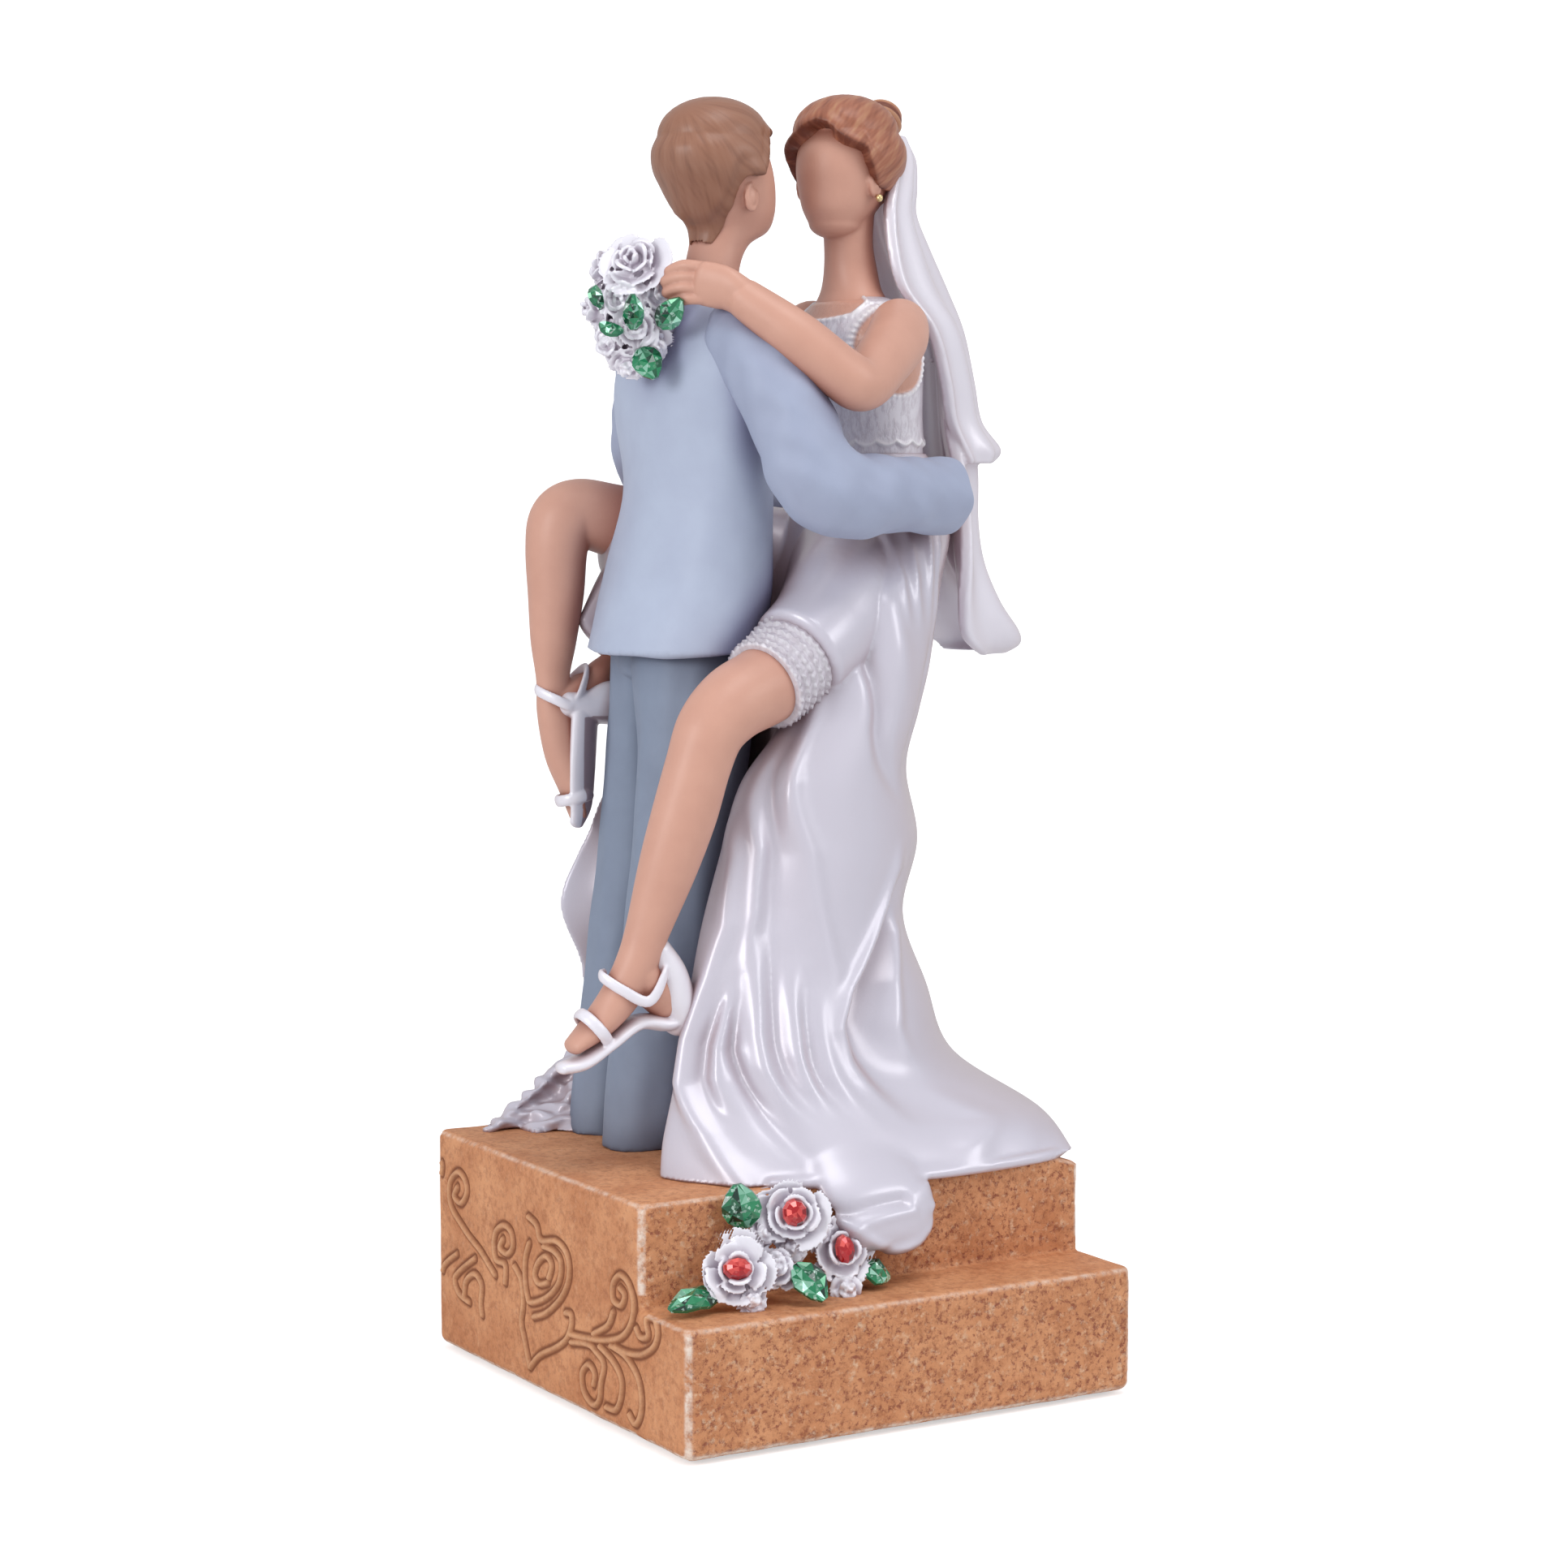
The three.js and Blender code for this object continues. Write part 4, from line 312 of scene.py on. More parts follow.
# Petals between the roses: place, and radius in millimetres.
STEP_BUDS = [
    (-0.252, 0.387, 0.335, 3.0), (-0.138, 0.236, 0.563, 2.1), (-0.105, 0.492, 0.043, 2.3),
    (-0.32, 0.573, 0.095, 2.0), (-0.256, 0.201, 0.626, 2.2), (-0.202, 0.271, 0.459, 2.2)]
STEP_GEM_RADIUS = 1.97
STEP_LEAVES = shares(
    (-290, 160, 700, -312, 200, 1130, 39, -500, -800, 200),
    (-365, 340, 160, -485, 500, 100, 31, -200, -500, 900),
    (-220, 500, 360, -185, 800, 60, 34, -200, -700, 700),
    (-60, 400, 200, 0, 420, 100, 30, 100, -700, 700))
# Layers of a rose: reach and height as shares of its radius, count of petals, opening, drop of their feet.
BUD_LAYERS = [
    (0.3, 0.95, 3, -0.1, 0.2), (0.48, 0.85, 4, 0.2, 0.25), (0.62, 0.7, 5, 0.4, 0.35),
    (0.74, 0.55, 5, 0.55, 0.45)]
OPEN_LAYERS = [(0.5, 0.6, 4, 0.2, 0.0), (0.7, 0.58, 5, 0.42, 0.15), (0.88, 0.5, 5, 0.5, 0.32)]
# Strokes of the carving: place along the end face and up it, in thousandths of its depth and height.
CARVING = [
    [(242, 445), (300, 519), (364, 580), (419, 647), (439, 707), (435, 788), (401, 841), (368, 815),
     (363, 761), (391, 704), (418, 726), (404, 772)],
    [(492, 868), (472, 850), (476, 800), (492, 775)],
    [(199, 432), (199, 509), (236, 515), (246, 577), (235, 648), (203, 684), (172, 665), (167, 607),
     (193, 562), (221, 577), (209, 621)],
    [(101, 767), (66, 744), (48, 687), (-12, 709), (-56, 670), (-61, 575), (-30, 475), (30, 381),
     (81, 337)],
    [(99, 653), (115, 581), (116, 493), (106, 421), (91, 395), (30, 447), (-21, 535), (-31, 626),
     (-2, 661), (38, 664)],
    [(24, 514), (58, 493), (74, 529), (59, 590), (29, 626), (7, 598), (19, 538)],
    [(160, 522), (131, 469), (124, 380), (133, 287), (118, 207), (97, 108)],
    [(97, 108), (59, 179), (-9, 249), (-51, 308), (-71, 377), (-70, 419), (-48, 417)],
    [(480, 323), (464, 393), (410, 464)],
    [(330, 480), (393, 399), (419, 345), (400, 286), (356, 268)],
    [(378, 285), (368, 363), (331, 408), (301, 373), (306, 292), (300, 238)],
    [(-69, 333), (-137, 351), (-209, 380), (-265, 426), (-300, 501), (-308, 587), (-291, 657),
     (-257, 678), (-233, 630), (-235, 563), (-261, 553), (-276, 601), (-259, 624)],
    [(-157, 382), (-212, 445), (-233, 512)],
    [(-238, 368), (-279, 363), (-334, 383), (-382, 441), (-398, 508), (-382, 551), (-356, 547),
     (-355, 523), (-362, 476), (-335, 454), (-318, 484)],
    [(-69, 301), (-135, 324), (-172, 304), (-196, 270), (-186, 191), (-180, 116), (-155, 77),
     (-119, 111), (-111, 189), (-135, 239), (-160, 214), (-156, 165)],
    [(-181, 339), (-232, 300), (-262, 242), (-260, 162), (-239, 102), (-205, 94)],
    [(-223, 363), (-279, 345), (-323, 284), (-337, 209), (-333, 134), (-313, 82), (-293, 110)]]
CARVED_REACH = 0.475
PEARL_FINISH = {"Metallic": 0.12, "Coat Weight": 0.45, "Coat Roughness": 0.17}
SKIN = "#D6A38F"
# The photograph's view: eye in metres, direction, focal length on a sensor 36 mm wide.
PHOTO_EYE = Vector((-0.27102, -0.45379, 0.13877))
PHOTO_AHEAD = Vector((0.51258, 0.85366, -0.09235))
PHOTO_LENS = 81.04
# Softboxes, all aimed at the lit place: name, place and size in metres, power in watts.
SOFTBOXES = (
    ("overhead_softbox", (0.02, -0.28, 0.8), 0.34, 1.6), ("left_softbox", (-0.75, -0.2, 0.36), 0.3, 2.1),
    ("right_softbox", (0.5, -0.62, 0.45), 0.3, 1.2))
LIT_PLACE = Vector((0, 0.01, 0.1))


def spot(place):
    """Place in millimetres, from shares of the couple's height."""
    return np.asarray(place, float) * COUPLE_HEIGHT + np.array([0.0, COUPLE_SETBACK, STAND_LEVEL])


def to_shares(points):
    """The way back from millimetres, as x, y and z."""
    return ((points - spot([0.0, 0.0, 0.0])) / COUPLE_HEIGHT).T


def on_steps(place):
    """Place on the lower step in millimetres, from shares of the block's length and the step's sizes."""
    along, out, up = place[:3]
    return np.array([along * BASE_LENGTH, RISER_PLACE - out * TREAD_DEPTH, TREAD_LEVEL + up * STEP_RISE])


def unit(vectors):
    vectors = np.asarray(vectors, float)
    return vectors / np.maximum(np.linalg.norm(vectors, axis=-1, keepdims=True), 1e-9)


def smooth_step(low, high, values):
    t = np.clip((np.asarray(values, float) - low) / (high - low), 0, 1)
    return t * t * (3 - 2 * t)


def mix(rows, places):
    """Values between the rows of a table, on a smooth curve, at places counted in rows."""
    rows = np.asarray(rows, float)
    places = np.atleast_1d(np.asarray(places, float))
    last = len(rows) - 1
    index = np.clip(np.floor(places).astype(int), 0, last - 1)
    around = (rows[np.clip(index + step, 0, last)] for step in (-1, 0, 1, 2))
    return between(*around, (places - index)[:, None])


def between(before, here, ahead, after, t):
    bend = 2 * before - 5 * here + 4 * ahead - after
    twist = 3 * here - before - 3 * ahead + after
    return here + 0.5 * t * (ahead - before + t * (bend + t * twist))


def samples(rows, per_span):
    return mix(rows, np.linspace(0, len(rows) - 1, (len(rows) - 1) * per_span + 1))


def skin(rings):
    """Closed shell through rings of points, its ends shut by fans."""
    rings = np.asarray(rings, float)
    count, sides = rings.shape[:2]
    points = np.concatenate([rings.reshape(-1, 3), rings[0].mean(0)[None], rings[-1].mean(0)[None]])
    here = np.arange(sides)
    ahead = (here + 1) % sides
    low = (np.arange(count - 1) * sides)[:, None]
    quads = np.stack([low + here, low + ahead, low + sides + ahead, low + sides + here], 2).reshape(-1, 4)
    top = (count - 1) * sides
    first = np.stack([ahead, here, np.full(sides, count * sides)], 1)
    final = np.stack([top + here, top + ahead, np.full(sides, count * sides + 1)], 1)
    faces = quads.tolist() + first.tolist() + final.tolist()
    anchor = points[quads[:, 0]] - points.mean(0)
    volume = np.einsum("ij,ij->", anchor, np.cross(points[quads[:, 1]] - points[quads[:, 0]],
                                                   points[quads[:, 3]] - points[quads[:, 0]]))
    return points, faces if volume > 0 else [face[::-1] for face in faces]


def gathered(shells):
    points, faces, start = [], [], 0
    for shell_points, shell_faces in shells:
        points.append(shell_points)
        faces.extend([[k + start for k in face] for face in shell_faces])
        start += len(shell_points)
    return np.concatenate(points), faces


def ring_of(centre, along, hint, half_across, half_through, sides):
    across = unit(hint - along * np.dot(hint, along))
    through = np.cross(along, across)
    turn = np.arange(sides) / sides * math.tau
    wide = np.outer(np.cos(turn), across) * half_across
    return centre + wide + np.outer(np.sin(turn), through) * half_through


def tube(centres, half_across, half_through, hint=ACROSS_X, sides=40, level=False, start_dome=1.0,
         end_dome=1.0, dome_steps=6):
    """Round body along a path, its ends domed."""
    along = np.empty_like(centres)
    along[1:-1] = centres[2:] - centres[:-2]
    along[0] = centres[1] - centres[0]
    along[-1] = centres[-1] - centres[-2]
    along = unit(along)
    if level:
        along = np.stack([np.zeros(len(along)), np.zeros(len(along)), np.sign(along[:, 2])], 1)

    def ring(i, offset=0.0, share=1.0):
        across, through = half_across[i] * share, half_through[i] * share
        return ring_of(centres[i] + offset, along[i], hint, across, through, sides)

    def dome(i, sign, share):
        reach = min(half_across[i], half_through[i]) * share
        tilts = (np.arange(dome_steps) + 1) / (dome_steps + 0.35) * math.pi / 2
        return [ring(i, along[i] * sign * reach * math.sin(tilt), math.cos(tilt)) for tilt in tilts]

    start = dome(0, -1, start_dome)[::-1] if start_dome else []
    end = dome(len(centres) - 1, 1, end_dome) if end_dome else []
    return skin(start + [ring(i) for i in range(len(centres))] + end)


def limb(rows, per_span=8, grow=0.0, **shape):
    """Round body along a table of places and half-widths."""
    stations = samples(rows, per_span)
    across, through = (stations[:, 3:5] * COUPLE_HEIGHT + grow).T
    return tube(spot(stations[:, :3]), across, through, **shape)


def cord(points, radius):
    path = samples(points, 6)
    widths = np.full(len(path), radius)
    return tube(path, widths, widths, hint=UP, sides=12, dome_steps=3)


def ball(centre, radii, sides=24, rings=14):
    tilt = np.linspace(-math.pi / 2, math.pi / 2, rings + 2)[1:-1]
    turn = np.arange(sides) / sides * math.tau
    circle = np.stack([np.cos(turn), np.sin(turn)], 1)
    layers = [np.column_stack([circle * math.cos(t), np.full(sides, math.sin(t))]) for t in tilt]
    return skin(np.asarray(layers) * np.asarray(radii) + centre)


def headed(rows, place, heading):
    """Rows given as forward, sideways and height, turned into the couple's frame."""
    rows = np.asarray(rows, float)
    turned = rows.copy()
    turned[:, 0] = place[0] + rows[:, 0] * math.cos(heading) - rows[:, 1] * math.sin(heading)
    turned[:, 1] = place[1] + rows[:, 0] * math.sin(heading) + rows[:, 1] * math.cos(heading)
    return turned


def heading_vector(heading):
    return np.array([math.cos(heading), math.sin(heading), 0.0])


def side_vector(heading):
    return np.array([-math.sin(heading), math.cos(heading), 0.0])


def new_mesh(name, points, faces):
    mesh = bpy.data.meshes.new(name)
    mesh.from_pydata(np.asarray(points, float).tolist(), [], faces)
    mesh.update()
    return mesh


def read(items, name, width, kind=float):
    values = np.empty(len(items) * width, kind)
    items.foreach_get(name, values)
    return values.reshape(-1, width)


def read_points(mesh):
    return read(mesh.vertices, "co", 3)


def read_normals(mesh):
    return read(mesh.vertex_normals, "vector", 3)


def write_points(mesh, points):
    mesh.vertices.foreach_set("co", np.ascontiguousarray(points, dtype=np.float32).ravel())
    mesh.update()


def neighbour_mean(values, edges):
    count = len(values)
    degree = np.maximum(np.bincount(edges.ravel(), minlength=count), 1)
    ends = ((0, 1), (1, 0))
    total = [sum(np.bincount(edges[:, a], column[edges[:, b]], count) for a, b in ends)
             for column in values.reshape(count, -1).T]
    return (np.stack(total, 1) / degree[:, None]).reshape(values.shape)


def relax(mesh, rounds, share=0.6):
    """Eases the surface without shrinking it."""
    points, edges = read_points(mesh), read(mesh.edges, "vertices", 2, np.int64)
    for _ in range(rounds):
        points = points + share * (neighbour_mean(points, edges) - points)
        points = points - share * 1.04 * (neighbour_mean(points, edges) - points)
    write_points(mesh, points)


def fused(shells, voxel, rounds=2):
    """One closed surface round overlapping shells."""
    mesh = new_mesh("shells", *gathered(shells))
    holder = bpy.data.objects.new("shells", mesh)
    bpy.context.scene.collection.objects.link(holder)
    remesh = holder.modifiers.new("fuse", "REMESH")
    remesh.mode = "VOXEL"
    remesh.voxel_size = voxel
    graph = bpy.context.evaluated_depsgraph_get()
    result = bpy.data.meshes.new_from_object(holder.evaluated_get(graph))
    bpy.data.objects.remove(holder)
    bpy.data.meshes.remove(mesh)
    relax(result, rounds)
    return result


def displace(mesh, heights):
    write_points(mesh, read_points(mesh) + read_normals(mesh) * heights[:, None])


def set_value(mesh, name, values, domain="POINT"):
    layer = mesh.attributes.new(name, "FLOAT", domain)
    layer.data.foreach_set("value", np.ascontiguousarray(values, dtype=np.float32))


def ripples(points, size, seed=0):
    """Smooth uneven values from minus one to one over a pattern of a given size."""
    total = np.zeros(len(points))
    rng = np.random.default_rng(seed)
    for _ in range(7):
        way = unit(rng.normal(size=3))
        pace = rng.uniform(0.7, 1.5) / size
        total += np.sin(points @ way * pace * math.tau + rng.uniform(0, math.tau))
    return total / 3.5


def unevenness(mesh, depth, size, seed, stretch=1.0):
    """Gentle rise and fall over a mesh, drawn out upward where stretch is under one."""
    points = read_points(mesh) * np.array([1, 1, stretch])
    displace(mesh, depth * ripples(points, size, seed))


def show(name, mesh, paint, *nodes, smooth=True):
    """Puts a piece built in millimetres on the part, in place of its CAD nodes."""
    material, slot = paint
    mesh.name = name
    write_points(mesh, read_points(mesh) * MM)
    mesh.materials.clear()
    mesh.materials.append(material)
    mesh.shade_smooth() if smooth else mesh.shade_flat()
    piece = bpy.data.objects.new(name, mesh)
    bpy.context.scene.collection.objects.link(piece)
    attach(piece, BODY)
    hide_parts(*nodes)


def linear(hex_code):
    parts = [int(hex_code[i:i + 2], 16) / 255 for i in (1, 3, 5)]
    return (*(c / 12.92 if c <= 0.04045 else ((c + 0.055) / 1.055) ** 2.4 for c in parts), 1.0)


def add_node(tree, kind, inputs=None, **settings):
    """New node, each input given as another node's output, as a value or as a hex colour."""
    item = tree.nodes.new(kind)
    for key, value in settings.items():
        setattr(item, key, value)
    for key, value in (inputs or {}).items():
        if isinstance(value, bpy.types.NodeSocket):
            tree.links.new(value, item.inputs[key])
        else:
            item.inputs[key].default_value = linear(value) if isinstance(value, str) else value
    return item


def new_material(name, values):
    material = bpy.data.materials.new(name)
    material.use_nodes = True
    tree = material.node_tree
    tree.nodes.clear()
    shader = add_node(tree, "ShaderNodeBsdfPrincipled", values)
    add_node(tree, "ShaderNodeOutputMaterial", {"Surface": shader.outputs["BSDF"]})
    return material, tree, shader


def tinted(tree, shader, colour):
    tree.links.new(colour, shader.inputs["Base Color"])


def object_place(tree):
    return add_node(tree, "ShaderNodeTexCoord").outputs["Object"]


def noise(tree, size_mm, detail=3.0, roughness=0.5, squeeze=None):
    """Noise whose cells are about this many millimetres across."""
    place = object_place(tree)
    if squeeze:
        inputs = {0: place, 1: squeeze}
        place = add_node(tree, "ShaderNodeVectorMath", inputs, operation="MULTIPLY").outputs[0]
    inputs = {"Vector": place, "Scale": 1 / (size_mm * MM), "Detail": detail, "Roughness": roughness}
    return add_node(tree, "ShaderNodeTexNoise", inputs).outputs["Fac"]


def blend_colour(tree, share, first, second):
    return add_node(tree, "ShaderNodeMix", {0: share, 6: first, 7: second}, data_type="RGBA").outputs[2]


def scaled(tree, value, low, high, out_low=0.0, out_high=1.0):
    inputs = {"Value": value, "From Min": low, "From Max": high, "To Min": out_low, "To Max": out_high}
    return add_node(tree, "ShaderNodeMapRange", inputs).outputs["Result"]


def combined(tree, operation, first, second):
    return add_node(tree, "ShaderNodeMath", {0: first, 1: second}, operation=operation).outputs[0]


def surface_value(tree, name):
    return add_node(tree, "ShaderNodeAttribute", attribute_name=name).outputs["Fac"]


def bump(tree, shader, height, distance_mm, strength):
    inputs = {"Height": height, "Distance": distance_mm * MM, "Strength": strength}
    item = add_node(tree, "ShaderNodeBump", inputs)
    tree.links.new(item.outputs["Normal"], shader.inputs["Normal"])


def hollows(tree, reach_mm, low, high):
    """How sheltered a place is within a reach: one in the hollows, nought in the open; the mask of the
    painted shade.
    """
    shelter = add_node(tree, "ShaderNodeAmbientOcclusion", {"Distance": reach_mm * MM}, samples=8)
    return scaled(tree, shelter.outputs["AO"], low, high, 1.0, 0.0)


def painted(name, colour, shade, roughness, coat=0.0):
    """Painted resin: one colour, a darker one laid into the hollows as painted shade and into uneven
    patches, a fine grain.
    """
    values = {"Roughness": roughness, "Coat Weight": coat, "Coat Roughness": 0.3}
    material, tree, shader = new_material(name, values)
    # Painted shade: the shade colour in the hollows, where less light would reach.
    tint = blend_colour(tree, hollows(tree, 6, 0.35, 0.95), colour, shade)
    patches = scaled(tree, noise(tree, 5.0), 0.3, 0.7, 0.0, 0.14)
    tinted(tree, shader, blend_colour(tree, patches, tint, shade))
    bump(tree, shader, noise(tree, 0.5), 0.03, 0.35)
    return material


def pearl_colour(tree, face_colour, side_colour, hollow_shade_colour, reach_mm):
    """Lilac white facing the eye; pinkish beige turned away, part the pearl's own shift of colour and part
    painted shade; a warm painted shade in hollows of about a given reach.
    """
    # Turned away from the eye the colour goes to the side colour: part pearl colour shift, part painted
    # shade.
    turned = add_node(tree, "ShaderNodeLayerWeight", {"Blend": 0.35}).outputs["Facing"]
    side = blend_colour(tree, scaled(tree, turned, 0.25, 0.95), face_colour, side_colour)
    # Painted shade: the hollow shade colour laid into the hollows.
    return blend_colour(tree, hollows(tree, reach_mm, 0.22, 0.86), side, hollow_shade_colour)


def pearl_paint(name, *colours, roughness=0.36, reach_mm=9.0):
    """Pearl lacquer of the satin and the petals."""
    material, tree, shader = new_material(name, {"Roughness": roughness, **PEARL_FINISH})
    tinted(tree, shader, pearl_colour(tree, *colours, reach_mm))
    bump(tree, shader, noise(tree, 0.35), 0.02, 0.25)
    return material


def shoe_paint():
    """Pearl lacquer over the shoe, with a lilac brown painted shade on the underside of its sole."""
    material, tree, shader = new_material("shoe_pearl_lacquer", {"Roughness": 0.4, **PEARL_FINISH})
    tint = pearl_colour(tree, "#F0EDF5", "#E2D2D6", "#C9B6BC", 2.0)
    under = scaled(tree, surface_value(tree, "under"), 0.2, 0.8)
    # Painted shade on the underside of the sole.
    tinted(tree, shader, blend_colour(tree, under, tint, "#A8949C"))
    return material


def lace_paint(name, face_colour, side_colour, hollow_shade_colour):
    """Lace: pearl lacquer with darker threads and whiter edges, skin where the cloth is cut away."""
    material, tree, shader = new_material(name, {"Roughness": 0.42, **PEARL_FINISH})
    body = pearl_colour(tree, face_colour, side_colour, hollow_shade_colour, 5.0)
    threads = scaled(tree, noise(tree, 0.9, 4.0, 0.7, (1.0, 1.0, 0.35)), 0.45, 0.62, 0.0, 0.55)
    body = blend_colour(tree, threads, body, side_colour)
    body = blend_colour(tree, surface_value(tree, "rim"), body, "#FBF9FC")
    tinted(tree, shader, blend_colour(tree, surface_value(tree, "bare"), body, SKIN))
    bump(tree, shader, threads, 0.12, 0.7)
    return material


def stone_paint():
    """Sandstone look: orange tan with grit, pits on the rough sides, pale rubbed edges, the carving's
    strokes lighter on top as a painted highlight and brown beside as painted shade.
    """
    material, tree, shader = new_material("sandstone_painted_resin", {"Roughness": 0.72})

    def patches(size_mm, detail, roughness, low, high, most=1.0):
        return scaled(tree, noise(tree, size_mm, detail, roughness), low, high, 0.0, most)

    rough_side = surface_value(tree, "rough_side")
    pits = combined(tree, "MULTIPLY", patches(0.9, 4.0, 0.75, 0.52, 0.64), rough_side)
    pale = combined(tree, "MULTIPLY", patches(1.3, 4.0, 0.7, 0.55, 0.72, 0.75), rough_side)
    rub = combined(tree, "MULTIPLY", surface_value(tree, "rub"), patches(1.6, 4.0, 0.7, 0.34, 0.62))
    body = blend_colour(tree, patches(9.0, 5.0, 0.6, 0.35, 0.68), "#DC9D70", "#C68357")
    # Painted shade in brown beside the carved strokes and a painted highlight on their tops.
    layers = ((patches(1.5, 5.0, 0.8, 0.47, 0.63, 0.6), "#A5653F"), (pits, "#94523A"), (pale, "#E9C8A8"),
              (surface_value(tree, "stroke_shade"), "#7E4727"), (surface_value(tree, "crest"), "#E2B78E"),
              (rub, "#F6E8DA"))
    for share, colour in layers:
        body = blend_colour(tree, share, body, colour)
    tinted(tree, shader, body)
    bump(tree, shader, combined(tree, "SUBTRACT", noise(tree, 0.45, 4.0, 0.7), pits), 0.14, 0.6)
    return material


def facet_paint(name, deep, body, glint, spark_colour, spark_share):
    """Lacquer over facets, each given a tone from deep to glint as painted reflection and highlight, with
    glitter sparks painted as points of light on top.
    """
    values = {"Metallic": 0.3, "Roughness": 0.16, "Coat Weight": 0.8, "Coat Roughness": 0.06}
    material, tree, shader = new_material(name, values)
    tone = surface_value(tree, "facet")
    tint = blend_colour(tree, scaled(tree, tone, 0.05, 0.45), deep, body)
    tint = blend_colour(tree, scaled(tree, tone, 0.6, 1.0), tint, glint)
    # Glitter flakes whose sparks are painted as light.
    flakes = add_node(tree, "ShaderNodeTexVoronoi", {"Vector": object_place(tree), "Scale": 1 / (0.4 * MM)})
    spark = add_node(tree, "ShaderNodeSeparateColor", {"Color": flakes.outputs["Color"]}).outputs[0]
    sparks = scaled(tree, spark, 0.86, 0.97, 0.0, spark_share)
    tinted(tree, shader, blend_colour(tree, sparks, tint, spark_colour))
    bump(tree, shader, spark, 0.05, spark_share / 2)
    return material


def plain(name, colour, roughness, metallic=0.0, coat=0.0):
    values = {"Base Color": colour, "Roughness": roughness, "Metallic": metallic, "Coat Weight": coat,
              "Coat Roughness": 0.05}
    return new_material(name, values)[0]


def hair_paint(name, colour, dark, glint, glint_share):
    """Painted hair: painted shade between the strands, a golden painted highlight along their crests."""
    material, tree, shader = new_material(name, {"Roughness": 0.42})
    groove = surface_value(tree, "groove")
    tint = blend_colour(tree, scaled(tree, groove, 0.0, 0.06), colour, dark)
    crest = scaled(tree, groove, 0.0, -0.04, 0.0, glint_share)
    tinted(tree, shader, blend_colour(tree, crest, tint, glint))
    bump(tree, shader, noise(tree, 0.4), 0.03, 0.3)
    return material


def felt_paint():
    """Brown felt: a soft nap of short fibres."""
    material, tree, shader = new_material("brown_felt", {"Roughness": 0.95, "Sheen Weight": 0.5})
    fuzz = noise(tree, 0.4, 5.0, 0.8)
    tinted(tree, shader, blend_colour(tree, fuzz, "#5E4B3D", "#7A6352"))
    bump(tree, shader, fuzz, 0.25, 0.6)
    return material


def rounded_block(low, high, radius=1.8, top_radius=1.1, foot_radius=1.6):
    """Closed block with rounded corners and rounded top and bottom edges."""
    low, high = np.asarray(low, float), np.asarray(high, float)
    quarter = math.pi / 2
    arc = np.linspace(0, quarter, 7)
    left, front = low[:2] + radius
    right, back = high[:2] - radius
    corners = ((right, front, -quarter), (right, back, 0), (left, back, quarter), (left, front, math.pi))

    def plan(height, inset):
        reach = radius - inset
        return [(x + reach * math.cos(start + turn), y + reach * math.sin(start + turn), height)
                for x, y, start in corners for turn in arc]

    rings = [plan(low[2] + foot_radius * (1 - math.cos(t)), foot_radius * (1 - math.sin(t))) for t in arc]
    rings += [plan(high[2] - top_radius * (1 - math.sin(t)), top_radius * (1 - math.cos(t))) for t in arc]
    return skin(rings)


def stroke_points():
    """Points along the carved strokes on the end face: y and z in millimetres."""
    fine = np.concatenate([samples(shares(*stroke), 14) for stroke in CARVING])
    return fine[np.abs(fine[:, 0]) < CARVED_REACH] * (BASE_DEPTH, STAND_LEVEL)


def nearest(points, where, targets, chunk=4000):
    """Distance in the plane from each marked point to the nearest target; the others are far off."""
    result = np.full(len(points), FAR_OFF)
    marked = np.flatnonzero(where)
    for start in range(0, len(marked), chunk):
        some = marked[start:start + chunk]
        gap = ((points[some][:, None, :] - targets[None, :, :]) ** 2).sum(2)
        result[some] = np.sqrt(gap.min(1))
    return result


